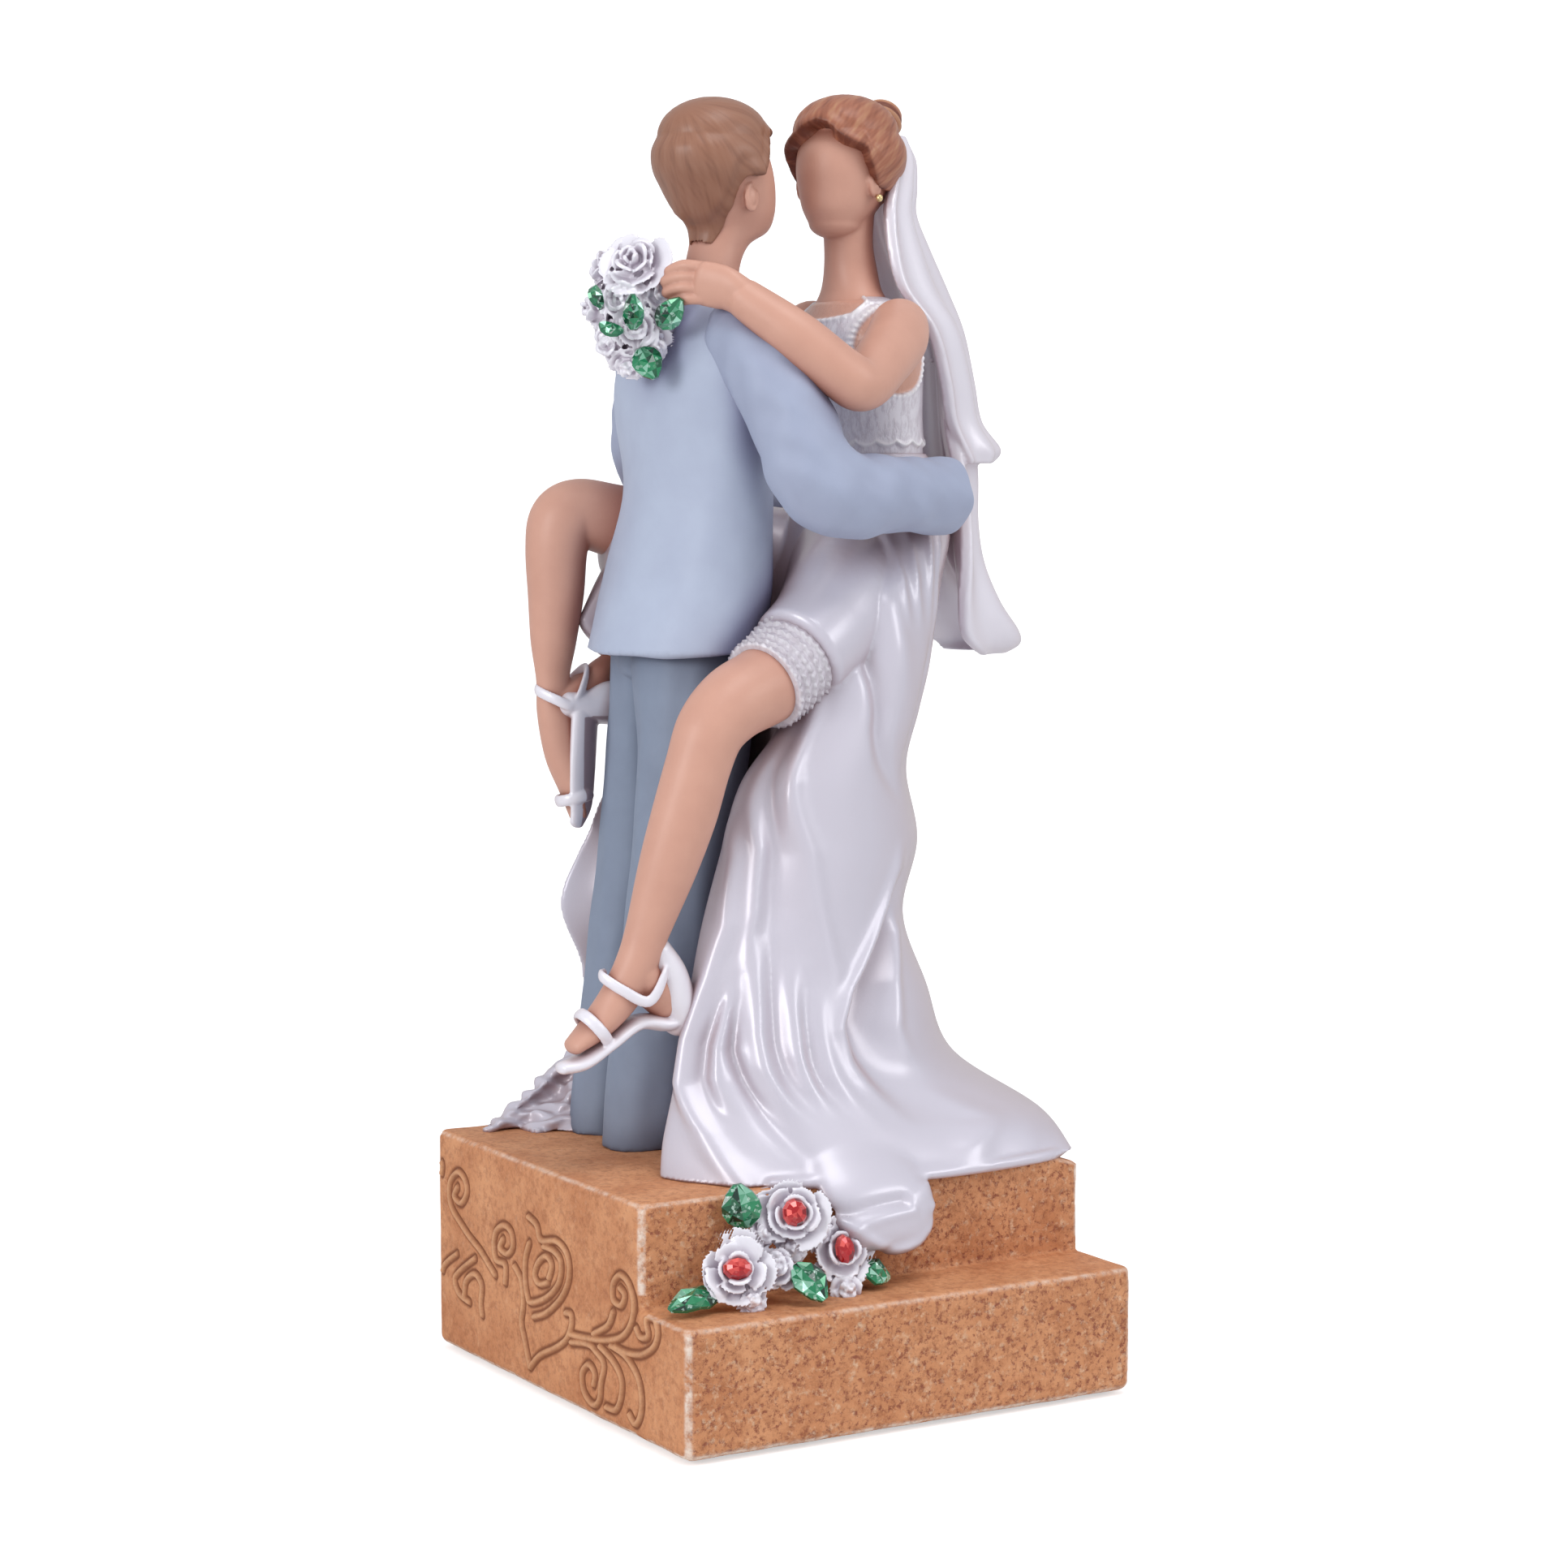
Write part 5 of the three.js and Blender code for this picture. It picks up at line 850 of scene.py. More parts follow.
def stepped_base(paint):
    """Block of two steps: carved on its left end, rough on its risers, rubbed and worn along its edges."""
    span = BASE_LENGTH / 2
    overlap = 6
    lower = rounded_block((-span, -BASE_DEPTH / 2, FELT), (span, RISER_PLACE + overlap, TREAD_LEVEL))
    upper = rounded_block((-span, RISER_PLACE, FELT), (span, BASE_DEPTH / 2, STAND_LEVEL))
    mesh = fused([lower, upper], 0.34, 1)
    refine(mesh, [p.index for p in mesh.polygons if p.center.x < 0.6 - span and p.normal.x < -0.9])
    points = read_points(mesh)
    x, z = points[:, 0], points[:, 2]
    reach, depth = 7, 1.6
    worn = smooth_step(span - reach, span, x) * smooth_step(STAND_LEVEL - reach, STAND_LEVEL, z)
    points[:, 2] -= worn * depth * smooth_step(STAND_LEVEL - 3, STAND_LEVEL, z)
    write_points(mesh, points)
    normals = read_normals(mesh)
    inner = (np.abs(points[:, 1] - RISER_PLACE) < 1.6) & (points[:, 2] < TREAD_LEVEL + 2)
    edge = np.where(inner, 0.0, smooth_step(0.955, 0.83, np.abs(normals).max(1)))
    gap = nearest(points[:, 1:], normals[:, 0] < -0.85, stroke_points())
    crest = smooth_step(0.5, 0.2, gap)
    trough = np.exp(-((gap - 0.68) / 0.24) ** 2)
    rough = smooth_step(0.6, 0.9, -normals[:, 1])
    grain = ripples(points, 2.2, 3) * ripples(points, 1.1, 4)
    chipped = edge * 0.14 * smooth_step(0.2, 1.0, ripples(points, 3.0, 6))
    crest_height, trough_depth, grain_depth, wave_depth = 0.34, 0.2, 0.12, 0.05
    heights = crest_height * crest - trough_depth * trough
    heights = heights + rough * grain_depth * grain + wave_depth * ripples(points, 9.0, 5) - chipped
    displace(mesh, heights)
    # Painted highlight on the tops of the strokes, painted shade in the grooves beside them.
    set_value(mesh, "crest", crest * 0.35)
    set_value(mesh, "stroke_shade", np.exp(-((gap - 0.66) / 0.26) ** 2))
    set_value(mesh, "rub", edge * (0.85 - 0.4 * smooth_step(0.2, 0.5, normals[:, 2])))
    set_value(mesh, "rough_side", rough * 0.7 + 0.25)
    show("base_stepped_block", mesh, paint, "stepped_base")


def refine(mesh, faces):
    """Cuts the named faces of a mesh in four."""
    work = bmesh.new()
    work.from_mesh(mesh)
    work.faces.ensure_lookup_table()
    edges = {edge for k in faces for edge in work.faces[k].edges}
    bmesh.ops.subdivide_edges(work, edges=list(edges), cuts=1, use_grid_fill=True)
    work.to_mesh(mesh)
    work.free()
    mesh.update()


def groom(paints):
    upright = {"level": True, "sides": 64}
    legs = [limb(rows, start_dome=0, end_dome=0, **upright) for rows in (NEAR_LEG, FAR_LEG)]
    mesh = fused(legs + [limb(SEAT, start_dome=0.3, end_dome=0.4, **upright)], 0.42, 4)
    unevenness(mesh, 0.22, 7.0, 11, 0.35)
    show("groom_trousers_cloth", mesh, paints["trousers"], "groom_trousers")

    mesh = fused([limb(JACKET, level=True, sides=96, start_dome=0, end_dome=0.3)], 0.38, 4)
    unevenness(mesh, 0.3, 10.0, 12, 0.45)
    show("groom_jacket_cloth", mesh, paints["jacket"], "groom_jacket")

    for name, rows, node in (("groom_near_sleeve", RIGHT_SLEEVE, "groom_right_sleeve"),
                             ("groom_far_sleeve", LEFT_SLEEVE, "groom_left_sleeve")):
        mesh = fused([limb(rows, hint=ACROSS_Y, sides=64, end_dome=0.3)], 0.34, 3)
        unevenness(mesh, 0.22, 6.0, 13)
        show(name, mesh, paints["sleeve"], node)

    for name, rows, node in (("groom_near_hand", GROOM_RIGHT_HAND, "groom_right_hand"),
                             ("groom_far_hand", GROOM_LEFT_HAND, "groom_left_hand")):
        show(name, fused([limb(rows, hint=ACROSS_Y, sides=40)], 0.24), paints["skin"], node)

    turned = (GROOM_HEAD_PLACE, GROOM_HEADING)
    ears = [ear(GROOM_EAR, side, *turned) for side in (-1, 1)]
    mesh = fused([skull(GROOM_HEAD, *turned, 0.0)] + ears, 0.26, 3)
    show("groom_head_skin", mesh, paints["skin"], "groom_head")
    forelock = limb(headed(GROOM_FORELOCK, *turned), sides=32, hint=ACROSS_Y)
    crown = (-0.035, 0.0, 0.985)
    mesh = hair_mesh(GROOM_HEAD[-7:], *turned, 1.5, GROOM_HAIRLINE, crown, 40, 0.01, [forelock])
    show("groom_hair_cut", mesh, paints["brown_hair"], "groom_hair")


def skull(rows, place, heading, grow, start_dome=0.0):
    return limb(headed(rows, place, heading), grow=grow, level=True, sides=96, per_span=10,
                hint=heading_vector(heading), start_dome=start_dome, end_dome=0.75, dome_steps=16)


def ear(share, side, place, heading):
    """Ear: the rolled rim of a shell on one side of a head."""
    forward, height, sideways = share
    centre = spot(headed([(forward, side * sideways, height)], place, heading)[0])
    front, out = heading_vector(heading), side_vector(heading) * side
    turn = np.linspace(-0.6, math.pi + 0.9, 24) + math.pi / 2 * 0.6
    rim = [centre + front * (-1.1 * math.sin(t)) + UP * (1.9 * math.cos(t)) + out * 0.35 for t in turn]
    widths = np.full(len(rim), 0.42)
    helix = tube(np.array(rim), widths, widths, hint=out, sides=12, dome_steps=3)
    return gathered([helix, ball(centre, (1.0, 1.0, 1.7))])


def above_hairline(points, rows, place, heading, hairline):
    """Height of each point over the hairline, in millimetres, and its turn about the head, in degrees."""
    level = (points[:, 2] - STAND_LEVEL) / COUPLE_HEIGHT
    middle, half_depth, half_width = (np.interp(level, rows[:, 2], rows[:, k]) for k in (0, 3, 4))
    away = (points - spot([place[0], place[1], 0.0])) / COUPLE_HEIGHT
    beside, ahead = away @ side_vector(heading), away @ heading_vector(heading)
    turn = np.degrees(np.arctan2(beside / half_width, (ahead - middle) / half_depth))
    line = np.array(hairline) / (1, 1000)
    return (level - np.interp(turn, line[:, 0], line[:, 1])) * COUPLE_HEIGHT, turn


def hair_mesh(rows, place, heading, depth, hairline, crown, strands, groove_depth, extra=()):
    """Hair lying on the skull above its hairline, combed toward the crown point, with painted shade along
    its edge.
    """
    mesh = fused([skull(rows, place, heading, depth, 0.3)], 0.2, 2)
    points = read_points(mesh)
    reach, turn = above_hairline(points, rows, place, heading, hairline)
    nape = smooth_step(95, 125, np.abs(turn)) * smooth_step(5.0, 0.0, reach)
    sink = np.maximum(smooth_step(0.5, -0.4, reach) * HAIR_SINK, nape * depth * 0.8)
    roll = 0.12 * np.exp(-((reach - 1.2) / 0.8) ** 2) - 0.1 * np.exp(-((reach - 2.9) / 0.7) ** 2)
    write_points(mesh, points + read_normals(mesh) * (roll - sink)[:, None])
    if extra:
        whole = [(read_points(mesh), [list(p.vertices) for p in mesh.polygons])] + list(extra)
        mesh = fused(whole, 0.2, 1)
    points = read_points(mesh)
    reach, turn = above_hairline(points, rows, place, heading, hairline)
    above_nape = smooth_step(110, 90, np.abs(turn))
    centre = spot(headed([(0.0, 0.0, 0.945)], place, heading)[0])
    axis = unit(spot(headed([crown], place, heading)[0]) - centre)
    hint = unit(np.cross(axis, heading_vector(heading) + 0.01 * UP))
    away = unit(points - centre)
    turn = np.arctan2(away @ np.cross(axis, hint), away @ hint)
    tilt = np.arccos(np.clip(away @ axis, -1, 1))
    wave = np.zeros(len(points))
    for k, share in enumerate((0.37, 0.62, 1.0, 1.47, 2.1)):
        wander = (1.6 + 0.5 * k) * np.sin(tilt * (3.1 + k) + turn * (2 + k) + 1.7 * k)
        wave += np.sin(turn * round(strands * share) + wander + 2.3 * k) / (1 + 0.4 * k)
    lift = groove_depth * wave * smooth_step(0.1, 0.5, np.sin(tilt))
    displace(mesh, lift)
    # The groove value carries painted shade between the strands and along the hairline, and painted
    # highlight on the crests.
    set_value(mesh, "groove", -lift + 0.07 * np.exp(-(reach / 0.8) ** 2) * above_nape)
    return mesh


def bun(paints):
    """Coiled bun behind the bride's head, with the string of beads round its foot."""
    bun_centre, band_centre = spot(headed([BUN, BAND], BRIDE_HEAD_PLACE, BRIDE_HEADING))
    axis = unit(bun_centre - band_centre)
    across = unit(np.cross(axis, UP))
    over = np.cross(axis, across)
    mesh = fused([ball(bun_centre, (BUN_RADIUS, BUN_RADIUS, BUN_RADIUS), 48, 30)], 0.18, 1)
    away = unit(read_points(mesh) - bun_centre)
    turn = np.arctan2(away @ over, away @ across)
    tilt = np.arccos(np.clip(away @ axis, -1, 1))
    swirl = np.sin(3 * turn + 9 * tilt) + 0.5 * np.sin(7 * turn + 18 * tilt)
    groove_depth = 0.12
    displace(mesh, groove_depth * swirl * smooth_step(0.1, 0.5, tilt))
    # Painted shade in the coil's grooves and painted highlight on its ridges.
    set_value(mesh, "groove", -groove_depth * swirl)
    show("bride_bun_coil", mesh, paints["auburn_hair"], "bride_bun")

    turns = np.arange(BAND_BEADS) / BAND_BEADS * math.tau
    places = [band_centre + BAND_RADIUS * (across * math.cos(t) + over * math.sin(t)) for t in turns]
    beads = gathered([ball(place, (BEAD_RADIUS, BEAD_RADIUS, BEAD_RADIUS), 16, 9) for place in places])
    show("bun_bead_string", new_mesh("beads", *beads), paints["bead"], "bun_bead_band")


def bride(paints):
    turned = (BRIDE_HEAD_PLACE, BRIDE_HEADING)
    neck = limb(BRIDE_NECK, level=True, sides=48, start_dome=0, end_dome=0)
    ears = [ear(BRIDE_EAR, side, *turned) for side in (-1, 1)]
    mesh = fused([skull(BRIDE_HEAD, *turned, 0.0, 0.6), neck] + ears, 0.26, 3)
    show("bride_head_skin", mesh, paints["skin"], "bride_head")
    mesh = hair_mesh(BRIDE_HAIR, *turned, 0.1, BRIDE_HAIRLINE, BUN, 52, 0.014)
    show("bride_hair_swept", mesh, paints["auburn_hair"], "bride_hair")
    bun(paints)

    forward, sideways, height = EARRING
    for name, place, node in (
            ("bride_left_stud", (forward, sideways, height), "bride_left_earring"),
            ("bride_right_stud", (forward - 0.014, -(sideways - 0.005), height), "bride_right_earring")):
        centre = spot(headed([place], *turned)[0])
        show(name, new_mesh("stud", *ball(centre, (0.55, 0.55, 0.6), 20, 12)), paints["gold"], node)

    show("bride_bodice_lace", bodice_mesh(), paints["lace"], "bride_bodice")

    arms = (("bride_near_arm", BRIDE_LEFT_ARM, BRIDE_LEFT_PALM, BRIDE_LEFT_FINGERS, "bride_left_arm"),
            ("bride_far_arm", BRIDE_RIGHT_ARM, BRIDE_RIGHT_PALM, BRIDE_RIGHT_FINGERS, "bride_right_arm"))
    for name, arm_rows, palm_rows, finger_rows, node in arms:
        shells = [limb(arm_rows, hint=UP, sides=48), limb(palm_rows, hint=ACROSS_X, sides=40)]
        mesh = fused(shells + [cord(spot(places), 0.98) for places in finger_rows], 0.2)
        show(name, mesh, paints["skin"], node)

    for name, rows, heel, node in (("bride_near_leg", LEFT_LEG, LEFT_HEEL, "bride_left_leg"),
                                   ("bride_far_leg", RIGHT_LEG, RIGHT_HEEL, "bride_right_leg")):
        mesh = fused([limb(rows, hint=ACROSS_Y, sides=48), limb(heel, hint=ACROSS_Y, sides=40)], 0.26, 3)
        show(name, mesh, paints["skin"], node)

    show("left_garter_lace", garter_mesh(), paints["lace"], "left_garter")
    mesh = shoe_mesh(LEFT_SOLE, ACROSS_Y, LEFT_HEEL_CUP, LEFT_STRAP, band_on(LEFT_LEG, 11.2, 0.95, 0.5))
    set_value(mesh, "under", np.zeros(len(mesh.vertices)))
    show("left_sandal", mesh, paints["shoe"], "left_shoe")

    turned_out = unit([0.93, 0.36, 0.0])
    toe_band = band_on(RIGHT_LEG, 11.3, 0.95, 0.5)
    heel_strap = cord(spot(RIGHT_HEEL_STRAP), 1.0)
    mesh = shoe_mesh(RIGHT_SOLE, turned_out, RIGHT_HEEL_CUP, RIGHT_STRAP, toe_band, heel_strap)
    # Painted shade on the underside of the right sole, where it faces away from the light.
    points = read_points(mesh)
    from_edge = (points - spot(RIGHT_SOLE[1][:3])) @ turned_out
    below = read_normals(mesh) @ np.cross(turned_out, UP)
    under = smooth_step(0.45, 0.8, below) * smooth_step(-1.4, -0.9, from_edge)
    set_value(mesh, "under", under * (points[:, 2] < spot(RIGHT_SOLE[0][:3])[2] - 0.6))
    show("right_sandal", mesh, paints["shoe"], "right_shoe")


def shoe_mesh(sole, way, cup, strap, *bands):
    """Sandal: its sole, heel cup, ankle strap and the other bands."""
    path = samples(spot(strap), 6)
    wide, thick = np.full(len(path), 0.85), np.full(len(path), 0.45)
    ankle = tube(path, wide, thick, hint=UP, sides=16, dome_steps=3)
    shells = [limb(sole, hint=way, sides=40), limb(cup, hint=ACROSS_Y, sides=40), ankle, *bands]
    return fused(shells, 0.2)


def bodice_mesh():
    """Top of the dress: cut away at the arms and the throat, its edges beaded, its waist scalloped."""
    mesh = fused([limb(BODICE, level=True, sides=96, start_dome=0, end_dome=0.3)], 0.2)
    x, y, z = to_shares(read_points(mesh))
    middle_x, middle_z, half_x, half_z = ARMHOLE
    turn = np.arctan2((z - middle_z) / half_z, (x - middle_x) / half_x)
    hole = (np.hypot((x - middle_x) / half_x, (z - middle_z) / half_z) - 1) * half_z * COUPLE_HEIGHT
    hole = np.where(np.abs(y) > 0.035, hole, FAR_OFF)
    throat = (np.interp(x, NECKLINE[:, 0], NECKLINE[:, 1]) - z) * COUPLE_HEIGHT
    cloth = np.minimum(hole, throat)
    arm_beads, throat_beads, scallops = 44, 700, 9
    beads = 0.7 + 0.3 * np.cos(np.where(hole < throat, turn * arm_beads, y * throat_beads))
    rim = np.exp(-((cloth - 0.2) / 0.38) ** 2) * beads
    around = np.arctan2(y / 0.072, (x - 0.156) / 0.051)
    waist = (z - WAIST_EDGE) * COUPLE_HEIGHT + 0.7 * np.abs(np.sin(around * scallops))
    scallop = np.exp(-(waist / 0.35) ** 2)
    cover = smooth_step(-0.3, 0.2, cloth) * smooth_step(-0.4, 0.1, waist)
    displace(mesh, 0.3 * cover + 0.28 * rim + 0.22 * scallop)
    set_value(mesh, "bare", smooth_step(0.0, -0.3, cloth))
    set_value(mesh, "rim", np.maximum(rim, scallop))
    return mesh


def station(rows, place):
    """Centre, direction and radius of a limb at a place counted in rows of its table."""
    row, ahead, behind = (mix(rows, place + step)[0] for step in (0, 0.1, -0.1))
    return spot(row[:3]), unit(spot(ahead[:3]) - spot(behind[:3])), max(row[3], row[4]) * COUPLE_HEIGHT


def band_on(rows, place, half_width, thickness):
    """Band round a limb at a place along its table."""
    centre, axis, radius = station(rows, place)
    hint = UP if abs(axis[2]) < 0.9 else ACROSS_X
    section = [(half_width * math.cos(t), thickness * math.sin(t)) for t in np.arange(16) / 16 * math.tau]
    return loop_skin([ring_of(centre + axis * wide, axis, hint, radius + out, radius + out, 64)
                      for wide, out in section])


def loop_skin(rings):
    """Closed shell through rings that come round to the first again."""
    rings = np.asarray(rings, float)
    count, sides = rings.shape[:2]
    here = np.arange(sides)
    ahead = (here + 1) % sides
    faces = []
    for r in range(count):
        low, high = r * sides, (r + 1) % count * sides
        faces += np.stack([low + here, low + ahead, high + ahead, high + here], 1).tolist()
    return rings.reshape(-1, 3), faces


def garter_mesh():
    """Lace garter: a band of low gathered flounces, each edge waving a little."""
    sides, flounces, per_flounce = 240, 6, 8
    first, last = 1.1, 2.1
    rings = []
    turn = np.arange(sides) / sides * math.tau
    for i, place in enumerate(np.linspace(first, last, flounces * per_flounce + 1)):
        centre, axis, radius = station(LEFT_LEG, place)
        share = (i % per_flounce) / per_flounce
        radius = radius + 0.6 + 0.65 * share ** 1.4
        wave = 0.17 * share * np.cos(turn * 31 + i // per_flounce * 1.7) + 0.07 * share * np.cos(turn * 53)
        across = unit(UP - axis * axis[2])
        through = np.cross(axis, across)
        reach = (radius + wave)[:, None]
        rim = reach * (np.cos(turn)[:, None] * across + np.sin(turn)[:, None] * through)
        rings.append(centre + rim + axis * (0.12 * share * np.sin(turn * 31 + 1.0))[:, None])
    return new_mesh("garter", *skin(rings))


def closed_curve(points, per_span):
    points = np.asarray(points, float)
    count = len(points)
    steps = np.arange(count * per_span) / per_span
    index = np.floor(steps).astype(int)
    before, here, ahead, after = (points[(index + step) % count] for step in (-1, 0, 1, 2))
    return between(before, here, ahead, after, (steps - index)[:, None]), steps


def outward_of(path):
    """Level direction away from a path, on its right side, at each of its points."""
    return unit(np.column_stack([path[:, 1], -path[:, 0], np.zeros(len(path))]))


def fold_lift(height, runs):
    """How far the fold lines lift the fall at a height, at places round its outline, in millimetres."""
    lift = np.zeros(len(runs))
    for skew, line in SKIRT_FOLDS:
        rows = np.array(line)[::-1] / FOLD_UNITS
        if rows[0, 0] <= height <= rows[-1, 0]:
            place, width, depth = (np.interp(height, rows[:, 0], rows[:, k]) for k in (1, 2, 3))
            width = np.where(runs > place, width * skew, width)
            lift += depth * np.exp(-((runs - place) / width) ** 2)
    return lift


def skirt_fall():
    rings = []
    for row in samples(SKIRT, 14):
        curve, runs = closed_curve(row[1:].reshape(-1, 2), 40)
        ring = spot(np.column_stack([curve, np.full(len(curve), max(row[0], 0.0))]))
        outward = outward_of(np.roll(ring, -1, 0) - np.roll(ring, 1, 0))
        rings.append(ring + outward * fold_lift(row[0], runs)[:, None])
    return skin(rings)


def skirt_mesh():
    """Skirt: its fall, the cloth over both thighs, the train over the riser and the rolled hem."""
    radius = HEM_ROLL_RADIUS / COUPLE_HEIGHT
    thighs = [limb(rows, hint=ACROSS_Y, sides=64, start_dome=0.4, end_dome=0.25)
              for rows in (NEAR_THIGH, FAR_THIGH)]
    shells = [skirt_fall(), *thighs, limb(FAR_DROP, hint=ACROSS_Y, sides=48),
              limb(TRAIN, sides=72, start_dome=0.3),
              limb([(x, y, z, radius, radius) for x, y, z in HEM_ROLL], hint=UP, sides=24)]
    mesh = fused(shells, 0.34, 4)
    points = read_points(mesh)
    x, y, z = to_shares(points)
    flowing = smooth_step(-0.008, 0.01, z) * smooth_step(0.085, 0.045, z) * smooth_step(-0.19, -0.21, y)
    flowing = (flowing * smooth_step(0.13, 0.08, np.abs(x - 0.01)))[:, None]
    edges = read(mesh.edges, "vertices", 2, np.int64)
    easing_rounds, easing = 26, 0.6
    for _ in range(easing_rounds):
        points = points + easing * flowing * (neighbour_mean(points, edges) - points)
    write_points(mesh, points)
    x, y, z = to_shares(points)
    hanging = (y < -0.24) & (z < 0.01) & (x < 0.1)
    plane = np.stack([x, z], 1) * COUPLE_HEIGHT
    lift = np.zeros(len(points))
    for line, width, height in ((TRAIN_LIP, 0.8, 0.5), (TRAIN_RIDGE, 0.8, 0.25), (TRAIN_HOLLOW, 1.0, -0.8)):
        gap = nearest(plane, hanging, samples(line, 8) * COUPLE_HEIGHT)
        lift += height * np.exp(-(gap / width) ** 2)
    pool = smooth_step(-0.095, -0.115, x) * smooth_step(0.05, 0.08, y) * smooth_step(0.11, 0.07, z)
    lift += pool * 0.7 * ripples(points * np.array([1, 1, 1.7]), 4.2, 21)
    displace(mesh, lift)
    return mesh


def sheet(rows, fold_count, fold_depth):
    """Sheet of cloth hanging through its rows, with a few folds along it and thin edges."""
    share = np.linspace(0, 1, 61)
    rings = []
    for row in samples(rows, 14):
        path = mix(row[1:7].reshape(3, 2), share * 2)
        middle = spot(np.column_stack([path, np.full(len(path), row[0])]))
        outward = outward_of(np.gradient(middle, axis=0))
        half = row[7] * COUPLE_HEIGHT / 2 * (0.3 + 0.7 * np.sqrt(np.maximum(np.sin(share * math.pi), 0)))
        wave = fold_depth * np.cos(share * fold_count * math.tau) * np.sin(share * math.pi) ** 0.5
        face, back = (middle + outward * offset[:, None] for offset in (half + wave, wave - half))
        rings.append(np.concatenate([face, back[::-1]]))
    return skin(rings)


def rim_faces(grid):
    """Faces that join the rim of a grid of points to that of its other side, whose numbers follow on."""
    first, last = grid[:, 0].tolist(), grid[:, -1].tolist()
    rim = grid[0].tolist() + last[1:] + grid[-1, -2::-1].tolist() + first[-2:0:-1]
    return [[b, a, grid.size + a, grid.size + b] for a, b in zip(rim, rim[1:] + rim[:1])]


def petal(centre, axis, turn, radius, height, width, open_share, thickness=0.62, grid=9):
    """Cupped petal standing round an axis: narrow at its foot, round and rolled back at its rim."""
    hint = ACROSS_X if abs(axis[2]) > 0.9 else UP
    side = unit(hint - axis * np.dot(hint, axis))
    other = np.cross(axis, side)
    u, v = np.meshgrid(np.linspace(-1, 1, grid), np.linspace(0, 1, grid), indexing="ij")
    spread = width * (0.45 + 0.55 * np.sin(np.clip(v * 1.15, 0, 1) * math.pi * 0.62))
    arch = np.sqrt(np.maximum(1 - (u * 0.96) ** 2 * 0.55 * v, 0))
    angle = turn + u * spread
    rise = height * v * arch
    out = radius * (0.35 + 0.65 * np.sin(v * math.pi / 2)) * (1 + open_share * v ** 3)
    out = out + 0.10 * radius * np.cos(u * math.pi / 2)
    flat = angle.ravel()
    way = np.outer(np.cos(flat), side) + np.outer(np.sin(flat), other)
    face, back = (centre + way * (out.ravel() - depth)[:, None] + np.outer(rise.ravel(), axis)
                  for depth in (0.0, thickness))
    numbers = np.arange(grid * grid).reshape(grid, grid)
    faces = []
    for a, b in zip(numbers[:-1, :-1].ravel().tolist(), numbers[1:, :-1].ravel().tolist()):
        quad = [a, b, b + 1, a + 1]
        faces += [quad, [numbers.size + k for k in quad[::-1]]]
    return np.concatenate([face, back]), faces + rim_faces(numbers.T)


def rose_shells(centre, facing, radius, layers, seed):
    """Layers of petals round a core, each petal a little out of line with the next."""
    rng = np.random.default_rng(seed)
    shells = [ball(centre - facing * radius * 0.1, np.full(3, radius * 0.5))]
    for i, (reach, height, count, opening, drop) in enumerate(layers):
        for k in range(count):
            turn = (k + i * 0.45 + rng.uniform(-0.2, 0.2)) / count * math.tau
            foot = centre - facing * radius * (drop + rng.uniform(-0.08, 0.08))
            wide = radius * reach * rng.uniform(0.86, 1.12)
            tall = radius * height * rng.uniform(0.85, 1.15)
            flare = opening * rng.uniform(0.6, 1.5)
            shells.append(petal(foot, facing, turn, wide, tall, math.pi / count * 1.1, flare))
    return shells


def blade(start, end, half_width, facing, seed):
    """Leaf: pointed blade folded along its rib and cut in facets, each facet given a tone as painted
    reflection, darker on one half.
    """
    along = end - start
    length = np.linalg.norm(along)
    along = along / length
    out = unit(facing - along * np.dot(facing, along))
    side = np.cross(along, out)
    rows, columns = 6, 5
    v, u = np.meshgrid(np.linspace(0, 1, rows), np.linspace(-1, 1, columns), indexing="ij")
    wide = half_width * np.sin(np.clip(v, 0.03, 0.97) * math.pi) ** 0.6 * (1.1 - 0.25 * v)
    zigzag = 0.22 * np.where((np.arange(rows)[:, None] + np.arange(columns)) % 2, 1.0, -1.0)
    lift = 0.9 * np.sin(v * math.pi) * (1 - 0.55 * np.abs(u)) + zigzag * np.sin(v * math.pi)
    middle = start + np.outer((v * length).ravel(), along) + np.outer((u * wide).ravel(), side)
    top, low = (middle + np.outer((lift + thick).ravel(), out) for thick in (0.25, -0.25))
    numbers = np.arange(rows * columns).reshape(rows, columns)
    rng = np.random.default_rng(seed)
    faces, tones = [], []
    for i in range(rows - 1):
        for k in range(columns - 1):
            a, b, c, d = numbers[[i, i, i + 1, i + 1], [k, k + 1, k + 1, k]].tolist()
            # Painted reflection: a tone for each facet, darker on one half of the blade and lighter on the
            # other, with a random spread.
            tones += [(0.3 if k < columns // 2 else 0.62) + rng.uniform(-0.36, 0.36) for _ in range(4)]
            halves = [[a, b, c], [a, c, d]] if (i + k) % 2 else [[a, b, d], [b, c, d]]
            faces += halves + [[numbers.size + m for m in half[::-1]] for half in halves]
    rim = rim_faces(numbers)
    mesh = new_mesh("leaf", np.concatenate([top, low]), faces + rim)
    set_value(mesh, "facet", tones + [0.3] * len(rim), "FACE")
    return mesh


